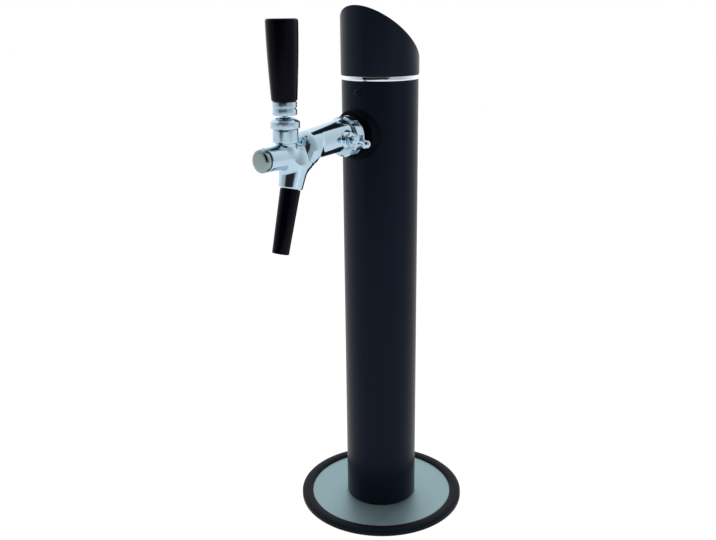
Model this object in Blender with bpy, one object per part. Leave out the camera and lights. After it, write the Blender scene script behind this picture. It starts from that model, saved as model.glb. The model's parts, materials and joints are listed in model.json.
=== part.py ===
"""Beer tower dispenser: a black column on a steel base in a rubber tray, with one pull tap.

Metres, +Z up. The origin is the column's axis on the plane that the tray stands on.
The tap points along -Y, and a place along it is given as its distance out from that axis.
"""

import math

import bmesh
import bpy
from mathutils import Matrix, Vector

# Fits, cutters and facets
GAP = 0.0003
OVERRUN = 0.004
WIDE_FACETS = 44
ROUND_FACETS = 24
SMALL_FACETS = 18
TINY_FACETS = 12
HEX_FACETS = 6
SHARP_ANGLE = math.radians(35)

# Base: rubber tray, steel plate, and the flange inside the column's foot
TRAY_RADIUS = 0.0897
TRAY_FLOOR = 0.0015
TRAY_HEIGHT = 0.0068
TRAY_RIM_WIDTH = 0.0121
TRAY_LIP_GRIP = 0.0022
TRAY_FOOT_CHAMFER = 0.0010
TRAY_RIM_STEPS = 4
PLATE_THICKNESS = 0.0024
PLATE_CHAMFER = 0.0004
FLANGE_HEIGHT = 0.0100
FLANGE_WEB = 0.0050
FLANGE_RIM_INNER_RADIUS = 0.0260
BASE_SCREW_COUNT = 3
BASE_SCREW_CIRCLE_RADIUS = 0.0310
BASE_SCREW_RADIUS = 0.0025
BASE_SCREW_LENGTH = 0.0098
BASE_SCREW_HEAD_RADIUS = 0.0046
BASE_SCREW_HEAD_HEIGHT = 0.0019
BASE_SCREW_SOCKET_RADIUS = 0.0018
BASE_SCREW_SOCKET_DEPTH = 0.0011

# Column, trim ring and slanted cap
COLUMN_RADIUS = 0.0380
COLUMN_WALL = 0.0020
COLUMN_ABOVE_TAP = 0.0504
COLUMN_EDGE = 0.0005
RING_HEIGHT = 0.0042
RING_RADIUS = 0.0387
RING_EDGE = 0.0006
CAP_RADIUS = 0.0386
CAP_FRONT_HEIGHT = 0.0654
CAP_SLOPE = math.radians(38.6)
CAP_WALL = 0.0024
CAP_EDGE = 0.0012
CAP_SHOULDER = 0.0030
SPIGOT_DEPTH = 0.0250
SPIGOT_LEAD = 0.0008
CAP_SCREW_DROP = 0.0102
CAP_SCREW_BEARING = math.radians(5)
CAP_SCREW_RADIUS = 0.0020
CAP_SCREW_LENGTH = 0.0080
CAP_SCREW_HEAD_RADIUS = 0.0036
CAP_SCREW_HEAD_HEIGHT = 0.0018
CAP_SCREW_SOCKET_RADIUS = 0.0014
CAP_SCREW_SOCKET_DEPTH = 0.0010
CAP_BOSS_RADIUS = 0.0045
CAP_BOSS_LENGTH = 0.0050

# Shank through the column's wall, with what clamps it
TAP_HEIGHT = 0.4110
SHANK_RADIUS = 0.0100
SHANK_BORE_RADIUS = 0.0045
SHANK_COLLAR_RADIUS = 0.0155
SHANK_COLLAR_LENGTH = 0.0032
SHANK_HEAD_RADIUS = 0.0137
SHANK_HEAD_LENGTH = 0.0060
SHANK_INSIDE_LENGTH = 0.0160
SADDLE_RADIUS = 0.0242
SADDLE_THICKNESS = 0.0045
SADDLE_EDGE = 0.0012
BACKING_RADIUS = 0.0150
BACKING_THICKNESS = 0.0050
LOCKNUT_HALF_FLATS = 0.0135
LOCKNUT_THICKNESS = 0.0060
UNION_WASHER_THICKNESS = 0.0017

# Union nut
NUT_RADIUS = 0.0195
NUT_WALL_LIP = 0.0020
NUT_EDGE = 0.0010
NUT_SLOT_COUNT = 8
NUT_SLOT_WIDTH = 0.0050
NUT_SLOT_DEPTH = 0.0022
NUT_SLOT_LENGTH = 0.0085

# Tap body: arm, barrel, neck and spout
TAIL_FLANGE_RADIUS = 0.0134
TAIL_FLANGE_LENGTH = 0.0024
TAIL_NECK_RADIUS = 0.0115
ARM_ROOT_RADIUS = 0.0155
ARM_ROOT_RISE = 0.0025
ARM_TIP_RADIUS = 0.0140
ARM_TIP_DROP = 0.0040
ARM_TIP_SETBACK = 0.0145
ARM_TIP_ROUNDING = 0.0100
ARM_TIP_TURN = math.radians(75)
ARM_LENGTH = 0.0742
ARM_TIP_STEPS = 3
BARREL_DROP = 0.0090
BARREL_RADIUS = 0.0105
BARREL_BORE_RADIUS = 0.0070
BARREL_LEAD = 0.0265
BARREL_EDGE = 0.0006
SEAT_SETBACK = 0.0190
SEAT_THICKNESS = 0.0030
SEAT_BORE_RADIUS = 0.0040
CHAMBER_RADIUS = 0.0064
CHAMBER_LENGTH = 0.0148
CONE_BORE_RADIUS = 0.0090
CONE_BORE_STRAIGHT_LEAD = 0.0060
CONE_BORE_TIP_RADIUS = 0.0058
CONE_BORE_TIP_SETBACK = 0.0077
PASSAGE_RADIUS = 0.0042
NECK_RADIUS = 0.0115
NECK_WAIST_RADIUS = 0.0096
NECK_BAND_HEIGHT = 0.0115
NECK_CONE_HEIGHT = 0.0014
NECK_HEIGHT = 0.0250
NECK_BORE_RADIUS = 0.0088
NECK_BORE_DEPTH = 0.0091
FINGER_WELL_RADIUS = 0.0074
SPOUT_SETBACK = 0.0117
SPOUT_LEAN = math.radians(15.25)
SPOUT_LENGTH = 0.0305
SPOUT_BELLY_RADIUS = 0.0134
SPOUT_BELLY_LENGTH = 0.0090
SPOUT_CROWN_RADIUS = 0.0060
SPOUT_CROWN_RISE = 0.0050
SPOUT_END_RADIUS = 0.0110
SPOUT_BORE_RADIUS = 0.0046
SPOUT_BORE_START = 0.0045
SOCKET_RADIUS = 0.0075
SOCKET_DEPTH = 0.0118

# Valve in the barrel
VALVE_HEAD_RADIUS = 0.0057
VALVE_HEAD_LENGTH = 0.0030
VALVE_SEAL_THICKNESS = 0.0019
VALVE_SEAL_RADIUS = 0.0053
VALVE_ROD_RADIUS = 0.0019
VALVE_WAIST_RADIUS = 0.0052
VALVE_LAND_LEAD = 0.0080
VALVE_END_CLEARANCE = 0.0030
VALVE_GROOVE_DEPTH = 0.0014
VALVE_GROOVE_WIDTH = 0.0024
CAP_PLUG_LENGTH = 0.0050
FRONT_SEAL_THICKNESS = 0.0010
FRONT_SEAL_WALL = 0.0018
FRONT_CAP_RADIUS = 0.0103
FRONT_CAP_LENGTH = 0.0056
FRONT_CAP_DOME = 0.0018
FRONT_CAP_DOME_STEPS = 3

# Lever: ball, seat, bonnet, ferrule and handle
BALL_RISE = 0.0220
BALL_RADIUS = 0.0068
STEM_RADIUS = 0.0030
THREAD_RADIUS = 0.0040
THREAD_LENGTH = 0.0300
FINGER_RADIUS = 0.0016
FINGER_TIP_RADIUS = 0.0024
BALL_STEPS = 3
HANDLE_OPEN_ANGLE = math.radians(20)
BALL_SEAT_BORE_RADIUS = 0.0052
BALL_SEAT_HEIGHT = 0.0045
BONNET_RADIUS = 0.0132
BONNET_SIDE_HEIGHT = 0.0060
BONNET_HEIGHT = 0.0088
BONNET_LIP_RADIUS = 0.0054
BONNET_MOUTH_RADIUS = 0.0083
BONNET_EDGE = 0.0008
BONNET_SPIGOT_LENGTH = 0.0040
FERRULE_CLEARANCE = 0.0028
FERRULE_HEIGHT = 0.0120
FERRULE_RADIUS = 0.0110
FERRULE_GROOVE = 0.0007
FERRULE_EDGE = 0.0008
HANDLE_LENGTH = 0.0690
HANDLE_FOOT_RADIUS = 0.0116
HANDLE_TOP_RADIUS = 0.0143
HANDLE_FOOT_EDGE = 0.0010
HANDLE_TOP_EDGE = 0.0018
HANDLE_SIDE_STEPS = 3
HANDLE_EDGE_STEPS = 3
HANDLE_SWELL = 1.6

# Flow control: cone in the arm, side lever and its gland
FLOW_SETBACK = 0.0087
FLOW_BOSS_RADIUS = 0.0075
FLOW_BOSS_FACE = 0.0194
FLOW_GLAND_HALF_FLATS = 0.0058
FLOW_GLAND_LENGTH = 0.0030
FLOW_SHAFT_RADIUS = 0.0022
FLOW_SHAFT_START = 0.0076
FLOW_PIN_RADIUS = 0.0010
FLOW_PIN_LENGTH = 0.0028
FLOW_THROW = 0.0025
FLOW_LEVER_THICKNESS = 0.0030
FLOW_LEVER_RADIUS = 0.0040
FLOW_LEVER_LENGTH = 0.0170
FLOW_LEVER_DROP = math.radians(19)
FLOW_KNOB_RADIUS = 0.0046
FLOW_KNOB_STEPS = 4
CONE_FACE_RADIUS = 0.0070
CONE_REAR_LENGTH = 0.0060
CONE_NOSE_CLEARANCE = 0.0060
CONE_NOSE_RADIUS = 0.0042
CONE_GROOVE_RADIUS = 0.0040

# Nozzle
NOZZLE_TOP_RADIUS = 0.0094
NOZZLE_END_RADIUS = 0.0079
NOZZLE_LENGTH = 0.0596
NOZZLE_BORE_RADIUS = 0.0048
NOZZLE_EDGE = 0.0006
NOZZLE_GROOVE_RADIUS = 0.0061
NOZZLE_GROOVE_WIDTH = 0.0020
NOZZLE_GROOVE_DROP = 0.0040

# Inner line: bent tail, clamps, hose and base fitting
TAIL_PIPE_RADIUS = 0.0038
TAIL_BORE_RADIUS = 0.0022
TAIL_SEAT_RADIUS = 0.0094
TAIL_SEAT_THICKNESS = 0.0025
TAIL_STRAIGHT = 0.0100
TAIL_BEND_RADIUS = 0.0110
TAIL_BEND_STEPS = 4
TAIL_DROP = 0.0060
TAIL_NUT_LIP = 0.0025
TAIL_NUT_GRIP = 0.0030
BARB_RADIUS = 0.0031
BARB_ROOT_RADIUS = 0.0027
BARB_COUNT = 2
BARB_PITCH = 0.0050
HOSE_RADIUS = 0.00475
CLAMP_THICKNESS = 0.0008
CLAMP_WIDTH = 0.0070
CLAMP_EAR_WIDTH = 0.0036
CLAMP_EAR_HEIGHT = 0.0030
LINE_OFFSET = 0.0150
LINE_SWAY = 0.0035
LINE_BEND_SHARES = (0.25, 0.5, 0.75)
FITTING_COLLAR_RADIUS = 0.0100
FITTING_COLLAR_RECESS = 0.0006
FITTING_BODY_RADIUS = 0.0070
FITTING_PORT_RADIUS = 0.0045
FITTING_PORT_DEPTH = 0.0110
FITTING_BODY_TOP = 0.0180
FITTING_NUT_HALF_FLATS = 0.0085
FITTING_NUT_THICKNESS = 0.0050
LINE_STEPS_PER_SPAN = 3

# Heights and reaches that follow from the sizes above
PLATE_BOTTOM = TRAY_FLOOR + GAP
PLATE_TOP = PLATE_BOTTOM + PLATE_THICKNESS
PLATE_RADIUS = TRAY_RADIUS - TRAY_RIM_WIDTH + TRAY_LIP_GRIP
FOOT_HEIGHT = PLATE_TOP + GAP
COLUMN_TOP = TAP_HEIGHT + COLUMN_ABOVE_TAP
COLUMN_BORE_RADIUS = COLUMN_RADIUS - COLUMN_WALL
SPIGOT_RADIUS = COLUMN_BORE_RADIUS - GAP
RING_BOTTOM = COLUMN_TOP + GAP
CAP_BOTTOM = RING_BOTTOM + RING_HEIGHT + GAP
CAP_FRONT_TOP = CAP_BOTTOM + CAP_FRONT_HEIGHT
CAP_SCREW_HEIGHT = COLUMN_TOP - CAP_SCREW_DROP
SADDLE_FACE = COLUMN_RADIUS + SADDLE_THICKNESS
COLLAR_REACH = SADDLE_FACE + GAP
SHANK_HEAD_REACH = COLLAR_REACH + SHANK_COLLAR_LENGTH
SHANK_END_REACH = SHANK_HEAD_REACH + SHANK_HEAD_LENGTH
SHANK_INNER_REACH = COLUMN_BORE_RADIUS - SHANK_INSIDE_LENGTH
UNION_WASHER_REACH = SHANK_END_REACH + GAP
TAIL_FLANGE_REACH = UNION_WASHER_REACH + UNION_WASHER_THICKNESS + GAP
NUT_LIP_REACH = TAIL_FLANGE_REACH + TAIL_FLANGE_LENGTH + GAP
NUT_FRONT_REACH = NUT_LIP_REACH + NUT_WALL_LIP
NUT_REAR_REACH = SHANK_HEAD_REACH + GAP
ARM_ROOT_REACH = NUT_FRONT_REACH + GAP
NECK_REACH = ARM_ROOT_REACH + ARM_LENGTH
ARM_TIP_REACH = NECK_REACH - ARM_TIP_SETBACK
BARREL_REACH = NECK_REACH + BARREL_LEAD
SPOUT_ROOT_REACH = NECK_REACH - SPOUT_SETBACK
SEAT_REACH = NECK_REACH - SEAT_SETBACK
SEAT_END_REACH = SEAT_REACH + SEAT_THICKNESS
CHAMBER_START = SEAT_REACH - CHAMBER_LENGTH
FLOW_REACH = ARM_ROOT_REACH + FLOW_SETBACK
CONE_BORE_STRAIGHT_REACH = FLOW_REACH + CONE_BORE_STRAIGHT_LEAD
CONE_BORE_TIP_REACH = CHAMBER_START - CONE_BORE_TIP_SETBACK
CONE_NOSE_REACH = CONE_BORE_TIP_REACH - CONE_NOSE_CLEARANCE
BARREL_HEIGHT = TAP_HEIGHT - BARREL_DROP
NECK_TOP = BARREL_HEIGHT + NECK_HEIGHT
BALL_HEIGHT = BARREL_HEIGHT + BALL_RISE
BALL_CLEAR_RADIUS = BALL_RADIUS + GAP
BONNET_BOTTOM = NECK_TOP + GAP
BONNET_TOP = BONNET_BOTTOM + BONNET_HEIGHT
FERRULE_BOTTOM = BONNET_TOP + FERRULE_CLEARANCE
FERRULE_TOP = FERRULE_BOTTOM + FERRULE_HEIGHT
HANDLE_BOTTOM = FERRULE_TOP + GAP
VALVE_SEAL_REACH = SEAT_REACH - GAP - VALVE_SEAL_THICKNESS
VALVE_HEAD_REACH = VALVE_SEAL_REACH - GAP - VALVE_HEAD_LENGTH
VALVE_TRAVEL = BALL_RISE * HANDLE_OPEN_ANGLE
VALVE_WAIST_START = SEAT_END_REACH + VALVE_TRAVEL + 2 * GAP
VALVE_LAND_START = NECK_REACH + VALVE_LAND_LEAD
VALVE_LAND_END = BARREL_REACH - CAP_PLUG_LENGTH - VALVE_END_CLEARANCE
FITTING_BOTTOM = FITTING_COLLAR_RECESS

OUT = Vector((0, -1, 0))
UP = Vector((0, 0, 1))
DOWN = Vector((0, 0, -1))
SIDE = Vector((1, 0, 0))
SPOUT_WAY = Vector((0, -math.sin(SPOUT_LEAN), -math.cos(SPOUT_LEAN)))

TAP_AXIS = Vector((0, 0, TAP_HEIGHT))
BARREL_AXIS = Vector((0, 0, BARREL_HEIGHT))
NECK_FOOT = Vector((0, -NECK_REACH, 0))
SPOUT_ROOT = Vector((0, -SPOUT_ROOT_REACH, BARREL_HEIGHT))
BALL_CENTRE = Vector((0, -NECK_REACH, BALL_HEIGHT))
FLOW_CENTRE = Vector((0, -FLOW_REACH, TAP_HEIGHT))
FITTING_FOOT = Vector((0, LINE_OFFSET, 0))
CENTRE = Vector((0, 0, 0))


for old in list(bpy.data.objects):
    bpy.data.objects.remove(old, do_unlink=True)


def finish(name, colour, metallic, roughness):
    """A Principled material with one colour."""
    material = bpy.data.materials.new(name)
    material.use_nodes = True
    shader = material.node_tree.nodes["Principled BSDF"]
    shader.inputs["Base Color"].default_value = (*colour, 1)
    shader.inputs["Metallic"].default_value = metallic
    shader.inputs["Roughness"].default_value = roughness
    material.diffuse_color = (*colour, 1)
    return material


CHROME = finish("chrome", (0.78, 0.82, 0.86), 1.0, 0.08)
STEEL = finish("brushed_steel", (0.48, 0.55, 0.58), 1.0, 0.32)
BLACK_COAT = finish("black_coating", (0.010, 0.013, 0.020), 0.0, 0.35)
BLACK_CAP = finish("black_moulding", (0.012, 0.015, 0.020), 0.0, 0.45)
BLACK_GLOSS = finish("black_gloss", (0.005, 0.005, 0.007), 0.0, 0.15)
RUBBER = finish("rubber", (0.010, 0.012, 0.014), 0.0, 0.60)
SEAL = finish("seal_rubber", (0.020, 0.020, 0.022), 0.0, 0.70)
SEAT_PLASTIC = finish("seat_plastic", (0.80, 0.80, 0.76), 0.0, 0.40)
HOSE_PLASTIC = finish("hose_plastic", (0.62, 0.66, 0.68), 0.0, 0.30)
ALUMINIUM = finish("cast_aluminium", (0.60, 0.61, 0.62), 1.0, 0.45)


def axis_matrix(start, way):
    """Turns local +Z to a direction and moves the origin to a point."""
    turn = UP.rotation_difference(way)
    return Matrix.Translation(start) @ turn.to_matrix().to_4x4()


def circle(radius, height, facets):
    """A ring of points about local +Z."""
    angles = [math.tau * step / facets for step in range(facets)]
    return [Vector((radius * math.cos(a), radius * math.sin(a), height)) for a in angles]


def hexagon(half_flats, height, facets):
    """A ring of points on a hexagon, with a point at each corner."""
    side = math.tau / HEX_FACETS
    ring = []
    for step in range(facets):
        angle = math.tau * step / facets
        radius = half_flats / math.cos(angle % side - side / 2)
        ring.append(Vector((radius * math.cos(angle), radius * math.sin(angle), height)))
    return ring


def skin(rings, hollow):
    """Faces between neighbouring rings, joined end to end when hollow and capped when not."""
    shape = bmesh.new()
    loops = [[shape.verts.new(point) for point in ring] for ring in rings]
    pairs = list(zip(loops, loops[1:]))
    if hollow:
        pairs.append((loops[-1], loops[0]))
    for lower, upper in pairs:
        count = len(lower)
        for step in range(count):
            after = (step + 1) % count
            shape.faces.new((lower[step], lower[after], upper[after], upper[step]))
    if not hollow:
        shape.faces.new(loops[0])
        shape.faces.new(loops[-1])
    bmesh.ops.recalc_face_normals(shape, faces=shape.faces)
    return shape


def turned(profile, start, way, facets, hollow=False):
    """A lathe profile of (radius, height) pairs about an axis; a hollow one is a closed loop."""
    shape = skin([circle(radius, height, facets) for radius, height in profile], hollow)
    shape.transform(axis_matrix(start, way))
    return shape


def arc(centre_radius, centre_height, radius, first, last, steps):
    """Profile points on a circle, with angles in radians from the level outward direction."""
    points = []
    for step in range(steps + 1):
        angle = first + (last - first) * step / steps
        across = centre_radius + radius * math.cos(angle)
        points.append((across, centre_height + radius * math.sin(angle)))
    return points


def add(name, shape, material, origin=CENTRE, parent=None):
    """Makes an object from a shape in world places, with its origin at the given point."""
    shape.transform(Matrix.Translation(-origin))
    mesh = bpy.data.meshes.new(name)
    shape.to_mesh(mesh)
    shape.free()
    mesh.materials.append(material)
    mesh.shade_smooth()
    mesh.set_sharp_from_angle(angle=SHARP_ANGLE)
    made = bpy.data.objects.new(name, mesh)
    made.location = origin
    bpy.context.scene.collection.objects.link(made)
    if parent:
        made.parent = parent
        made.location = origin - parent.location
    return made


def pivot(name, place):
    """An empty on a joint's axis."""
    made = bpy.data.objects.new(name, None)
    made.location = place
    bpy.context.scene.collection.objects.link(made)
    return made


def helper(target, shape, name, operation):
    """A hidden shape that a Boolean cuts from or joins to a piece."""
    made = add(f"{target.name}_{name}", shape, target.data.materials[0])
    made.hide_render = True
    made.display_type = "WIRE"
    modifier = target.modifiers.new(name, "BOOLEAN")
    modifier.operation = operation
    modifier.solver = "EXACT"
    modifier.object = made
    return made


def cut(target, shape, name):
    helper(target, shape, name, "DIFFERENCE")


def join(target, shape, name):
    helper(target, shape, name, "UNION")


def block(low, high):
    """A box between two corners."""
    shape = bmesh.new()
    bmesh.ops.create_cube(shape, size=1)
    size = Vector(high) - Vector(low)
    middle = (Vector(high) + Vector(low)) / 2
    shape.transform(Matrix.Translation(middle) @ Matrix.Diagonal((*size, 1)))
    return shape


def bore(start, way, radius, first, last, facets):
    """A plain round cutter along an axis."""
    return turned([(radius, first), (radius, last)], start, way, facets)


def merged(first, second):
    """Two shapes in one bmesh."""
    carrier = bpy.data.meshes.new("carrier")
    second.to_mesh(carrier)
    second.free()
    first.from_mesh(carrier)
    bpy.data.meshes.remove(carrier)
    return first


# Base tray
def make_base_gasket():
    floor = PLATE_TOP + GAP
    dome = []
    for step in range(TRAY_RIM_STEPS + 1):
        angle = math.pi * step / TRAY_RIM_STEPS
        across = TRAY_RADIUS - TRAY_RIM_WIDTH / 2 + TRAY_RIM_WIDTH / 2 * math.cos(angle)
        dome.append((across, floor + (TRAY_HEIGHT - floor) * math.sin(angle)))
    profile = [(TRAY_RADIUS - TRAY_FOOT_CHAMFER, 0), (TRAY_RADIUS, TRAY_FOOT_CHAMFER)]
    profile += dome
    profile += [(PLATE_RADIUS + GAP, floor), (PLATE_RADIUS + GAP, TRAY_FLOOR)]
    tray = add("base_gasket", turned(profile, CENTRE, UP, WIDE_FACETS), RUBBER)
    hole = FITTING_COLLAR_RADIUS + GAP
    cut(tray, bore(FITTING_FOOT, UP, hole, -OVERRUN, OVERRUN, SMALL_FACETS), "fitting_hole")


def base_screw_places():
    places = []
    for number in range(BASE_SCREW_COUNT):
        angle = math.tau * number / BASE_SCREW_COUNT - math.pi / 2
        across = Vector((math.cos(angle), math.sin(angle), 0))
        places.append(across * BASE_SCREW_CIRCLE_RADIUS)
    return places


def make_base_plate():
    profile = [
        (PLATE_RADIUS, PLATE_BOTTOM),
        (PLATE_RADIUS, PLATE_TOP - PLATE_CHAMFER),
        (PLATE_RADIUS - PLATE_CHAMFER, PLATE_TOP),
    ]
    plate = add("base_plate", turned(profile, CENTRE, UP, WIDE_FACETS), STEEL)
    hole = FITTING_COLLAR_RADIUS + GAP
    cut(plate, bore(FITTING_FOOT, UP, hole, 0, PLATE_TOP + OVERRUN, SMALL_FACETS), "fitting_hole")
    head = BASE_SCREW_HEAD_RADIUS + GAP
    stem = BASE_SCREW_RADIUS + GAP
    sink = [
        (head, PLATE_BOTTOM - OVERRUN),
        (head, PLATE_BOTTOM + GAP),
        (stem, PLATE_BOTTOM + BASE_SCREW_HEAD_HEIGHT + GAP),
        (stem, PLATE_TOP + OVERRUN),
    ]
    for number, place in enumerate(base_screw_places(), 1):
        cut(plate, turned(sink, place, UP, TINY_FACETS), f"countersink_{number}")


def make_foot_flange():
    outer = COLUMN_BORE_RADIUS - GAP
    profile = [
        (outer, FOOT_HEIGHT),
        (outer, FOOT_HEIGHT + FLANGE_HEIGHT),
        (FLANGE_RIM_INNER_RADIUS, FOOT_HEIGHT + FLANGE_HEIGHT),
        (FLANGE_RIM_INNER_RADIUS, FOOT_HEIGHT + FLANGE_WEB),
    ]
    flange = add("foot_flange", turned(profile, CENTRE, UP, WIDE_FACETS), ALUMINIUM)
    hole = FITTING_BODY_RADIUS + GAP
    top = FOOT_HEIGHT + FLANGE_HEIGHT + OVERRUN
    cut(flange, bore(FITTING_FOOT, UP, hole, 0, top, SMALL_FACETS), "fitting_hole")
    tapped = BASE_SCREW_RADIUS + GAP
    depth = PLATE_BOTTOM + BASE_SCREW_LENGTH + GAP
    for number, place in enumerate(base_screw_places(), 1):
        cut(flange, bore(place, UP, tapped, 0, depth, TINY_FACETS), f"tapped_hole_{number}")


def make_base_screws():
    profile = [
        (BASE_SCREW_HEAD_RADIUS, PLATE_BOTTOM),
        (BASE_SCREW_HEAD_RADIUS, PLATE_BOTTOM + GAP),
        (BASE_SCREW_RADIUS, PLATE_BOTTOM + BASE_SCREW_HEAD_HEIGHT),
        (BASE_SCREW_RADIUS, PLATE_BOTTOM + BASE_SCREW_LENGTH),
    ]
    socket_top = PLATE_BOTTOM + BASE_SCREW_SOCKET_DEPTH
    for number, place in enumerate(base_screw_places(), 1):
        name = f"base_screw_{number}"
        screw = add(name, turned(profile, place, UP, TINY_FACETS), STEEL, origin=place)
        socket = bore(place, UP, BASE_SCREW_SOCKET_RADIUS, 0, socket_top, HEX_FACETS)
        cut(screw, socket, "socket")


# Column, ring and cap
def make_column_tube():
    edge = COLUMN_RADIUS - COLUMN_EDGE
    profile = [
        (edge, FOOT_HEIGHT),
        (COLUMN_RADIUS, FOOT_HEIGHT + COLUMN_EDGE),
        (COLUMN_RADIUS, COLUMN_TOP - COLUMN_EDGE),
        (edge, COLUMN_TOP),
        (COLUMN_BORE_RADIUS, COLUMN_TOP),
        (COLUMN_BORE_RADIUS, FOOT_HEIGHT),
    ]
    tube = add("column_tube", turned(profile, CENTRE, UP, WIDE_FACETS, True), BLACK_COAT)
    first = COLUMN_BORE_RADIUS - OVERRUN * 2
    last = COLUMN_RADIUS + OVERRUN
    shank_hole = bore(TAP_AXIS, OUT, SHANK_RADIUS + GAP, first, last, SMALL_FACETS)
    cut(tube, shank_hole, "shank_hole")
    screw_hole = bore(*cap_screw_axis(), CAP_SCREW_RADIUS + GAP, first, last, TINY_FACETS)
    cut(tube, screw_hole, "screw_hole")


def cap_screw_axis():
    way = Vector((math.sin(CAP_SCREW_BEARING), -math.cos(CAP_SCREW_BEARING), 0))
    return Vector((0, 0, CAP_SCREW_HEIGHT)), way


def make_trim_ring():
    top = RING_BOTTOM + RING_HEIGHT
    inner = SPIGOT_RADIUS + GAP
    profile = [
        (RING_RADIUS - RING_EDGE, RING_BOTTOM),
        (RING_RADIUS, RING_BOTTOM + RING_EDGE),
        (RING_RADIUS, top - RING_EDGE),
        (RING_RADIUS - RING_EDGE, top),
        (inner, top),
        (inner, RING_BOTTOM),
    ]
    add("trim_ring", turned(profile, CENTRE, UP, WIDE_FACETS, True), CHROME)


def slanted(shape, drop):
    """Cuts a standing shape by the lid's plane, lowered square to it, and closes the cut."""
    lid_normal = Vector((0, math.sin(CAP_SLOPE), math.cos(CAP_SLOPE)))
    lid_point = Vector((0, -CAP_RADIUS, CAP_FRONT_TOP)) - lid_normal * drop
    geometry = shape.verts[:] + shape.edges[:] + shape.faces[:]
    sliced = bmesh.ops.bisect_plane(
        shape, geom=geometry, plane_co=lid_point, plane_no=lid_normal, clear_outer=True
    )
    rim = [item for item in sliced["geom_cut"] if isinstance(item, bmesh.types.BMEdge)]
    bmesh.ops.edgeloop_fill(shape, edges=rim)
    return rim


def make_top_cap():
    spigot_bottom = COLUMN_TOP - SPIGOT_DEPTH
    over = CAP_FRONT_TOP + OVERRUN
    outer = [
        (SPIGOT_RADIUS - SPIGOT_LEAD, spigot_bottom),
        (SPIGOT_RADIUS, spigot_bottom + SPIGOT_LEAD),
        (SPIGOT_RADIUS, CAP_BOTTOM),
        (CAP_RADIUS, CAP_BOTTOM),
        (CAP_RADIUS, over),
    ]
    shell = turned(outer, CENTRE, UP, WIDE_FACETS)
    rim = slanted(shell, 0)
    bmesh.ops.bevel(shell, geom=rim, offset=CAP_EDGE, segments=1, profile=0.5, affect="EDGES")
    bmesh.ops.recalc_face_normals(shell, faces=shell.faces)
    cap = add("top_cap", shell, BLACK_CAP)

    spigot_bore = SPIGOT_RADIUS - CAP_WALL
    cavity = [
        (spigot_bore, spigot_bottom - OVERRUN),
        (spigot_bore, CAP_BOTTOM + CAP_SHOULDER),
        (CAP_RADIUS - CAP_WALL, CAP_BOTTOM + CAP_SHOULDER + CAP_WALL),
        (CAP_RADIUS - CAP_WALL, over),
    ]
    hollow = turned(cavity, CENTRE, UP, WIDE_FACETS)
    slanted(hollow, CAP_WALL)
    bmesh.ops.recalc_face_normals(hollow, faces=hollow.faces)
    cut(cap, hollow, "cavity")

    boss_end = spigot_bore + CAP_WALL / 2
    place, way = cap_screw_axis()
    boss_start = boss_end - CAP_BOSS_LENGTH
    join(cap, bore(place, way, CAP_BOSS_RADIUS, boss_start, boss_end, TINY_FACETS), "boss")
    hole = CAP_SCREW_RADIUS + GAP
    first = boss_start - OVERRUN
    cut(cap, bore(place, way, hole, first, COLUMN_RADIUS, TINY_FACETS), "screw_hole")


def make_cap_screw():
    place, way = cap_screw_axis()
    under = COLUMN_RADIUS + GAP
    profile = [(CAP_SCREW_RADIUS, under - CAP_SCREW_LENGTH), (CAP_SCREW_RADIUS, under)]
    profile += [(CAP_SCREW_HEAD_RADIUS, under)]
    for step in range(1, FRONT_CAP_DOME_STEPS):
        share = step / FRONT_CAP_DOME_STEPS
        radius = CAP_SCREW_HEAD_RADIUS * math.cos(share * math.pi / 2)
        profile.append((radius, under + CAP_SCREW_HEAD_HEIGHT * math.sin(share * math.pi / 2)))
    origin = place + way * COLUMN_RADIUS
    shape = turned(profile, place, way, TINY_FACETS)
    screw = add("cap_screw", shape, BLACK_GLOSS, origin=origin)
    top = under + CAP_SCREW_HEAD_HEIGHT
    first = top - CAP_SCREW_SOCKET_DEPTH
    cut(screw, bore(place, way, CAP_SCREW_SOCKET_RADIUS, first, top, HEX_FACETS), "socket")


# Shank and its clamping pieces
def make_tap_escutcheon():
    first = COLUMN_BORE_RADIUS - SADDLE_RADIUS / 2
    profile = [
        (SADDLE_RADIUS, first),
        (SADDLE_RADIUS, SADDLE_FACE - SADDLE_EDGE),
        (SADDLE_RADIUS - SADDLE_EDGE, SADDLE_FACE),
    ]
    saddle = add("tap_escutcheon", turned(profile, TAP_AXIS, OUT, ROUND_FACETS), RUBBER)
    low = TAP_HEIGHT - SADDLE_RADIUS - OVERRUN
    high = TAP_HEIGHT + SADDLE_RADIUS + OVERRUN
    cut(saddle, bore(CENTRE, UP, COLUMN_RADIUS + GAP, low, high, WIDE_FACETS), "column")
    hole = SHANK_RADIUS + GAP
    reach = SADDLE_FACE + OVERRUN
    cut(saddle, bore(TAP_AXIS, OUT, hole, first - OVERRUN, reach, SMALL_FACETS), "shank_hole")


def make_shank():
    profile = [
        (SHANK_RADIUS, SHANK_INNER_REACH),
        (SHANK_RADIUS, COLLAR_REACH),
        (SHANK_COLLAR_RADIUS, COLLAR_REACH),
        (SHANK_COLLAR_RADIUS, SHANK_HEAD_REACH),
        (SHANK_HEAD_RADIUS, SHANK_HEAD_REACH),
        (SHANK_HEAD_RADIUS, SHANK_END_REACH),
        (SHANK_BORE_RADIUS, SHANK_END_REACH),
        (SHANK_BORE_RADIUS, SHANK_INNER_REACH),
    ]
    add("shank", turned(profile, TAP_AXIS, OUT, SMALL_FACETS, True), CHROME)


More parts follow.
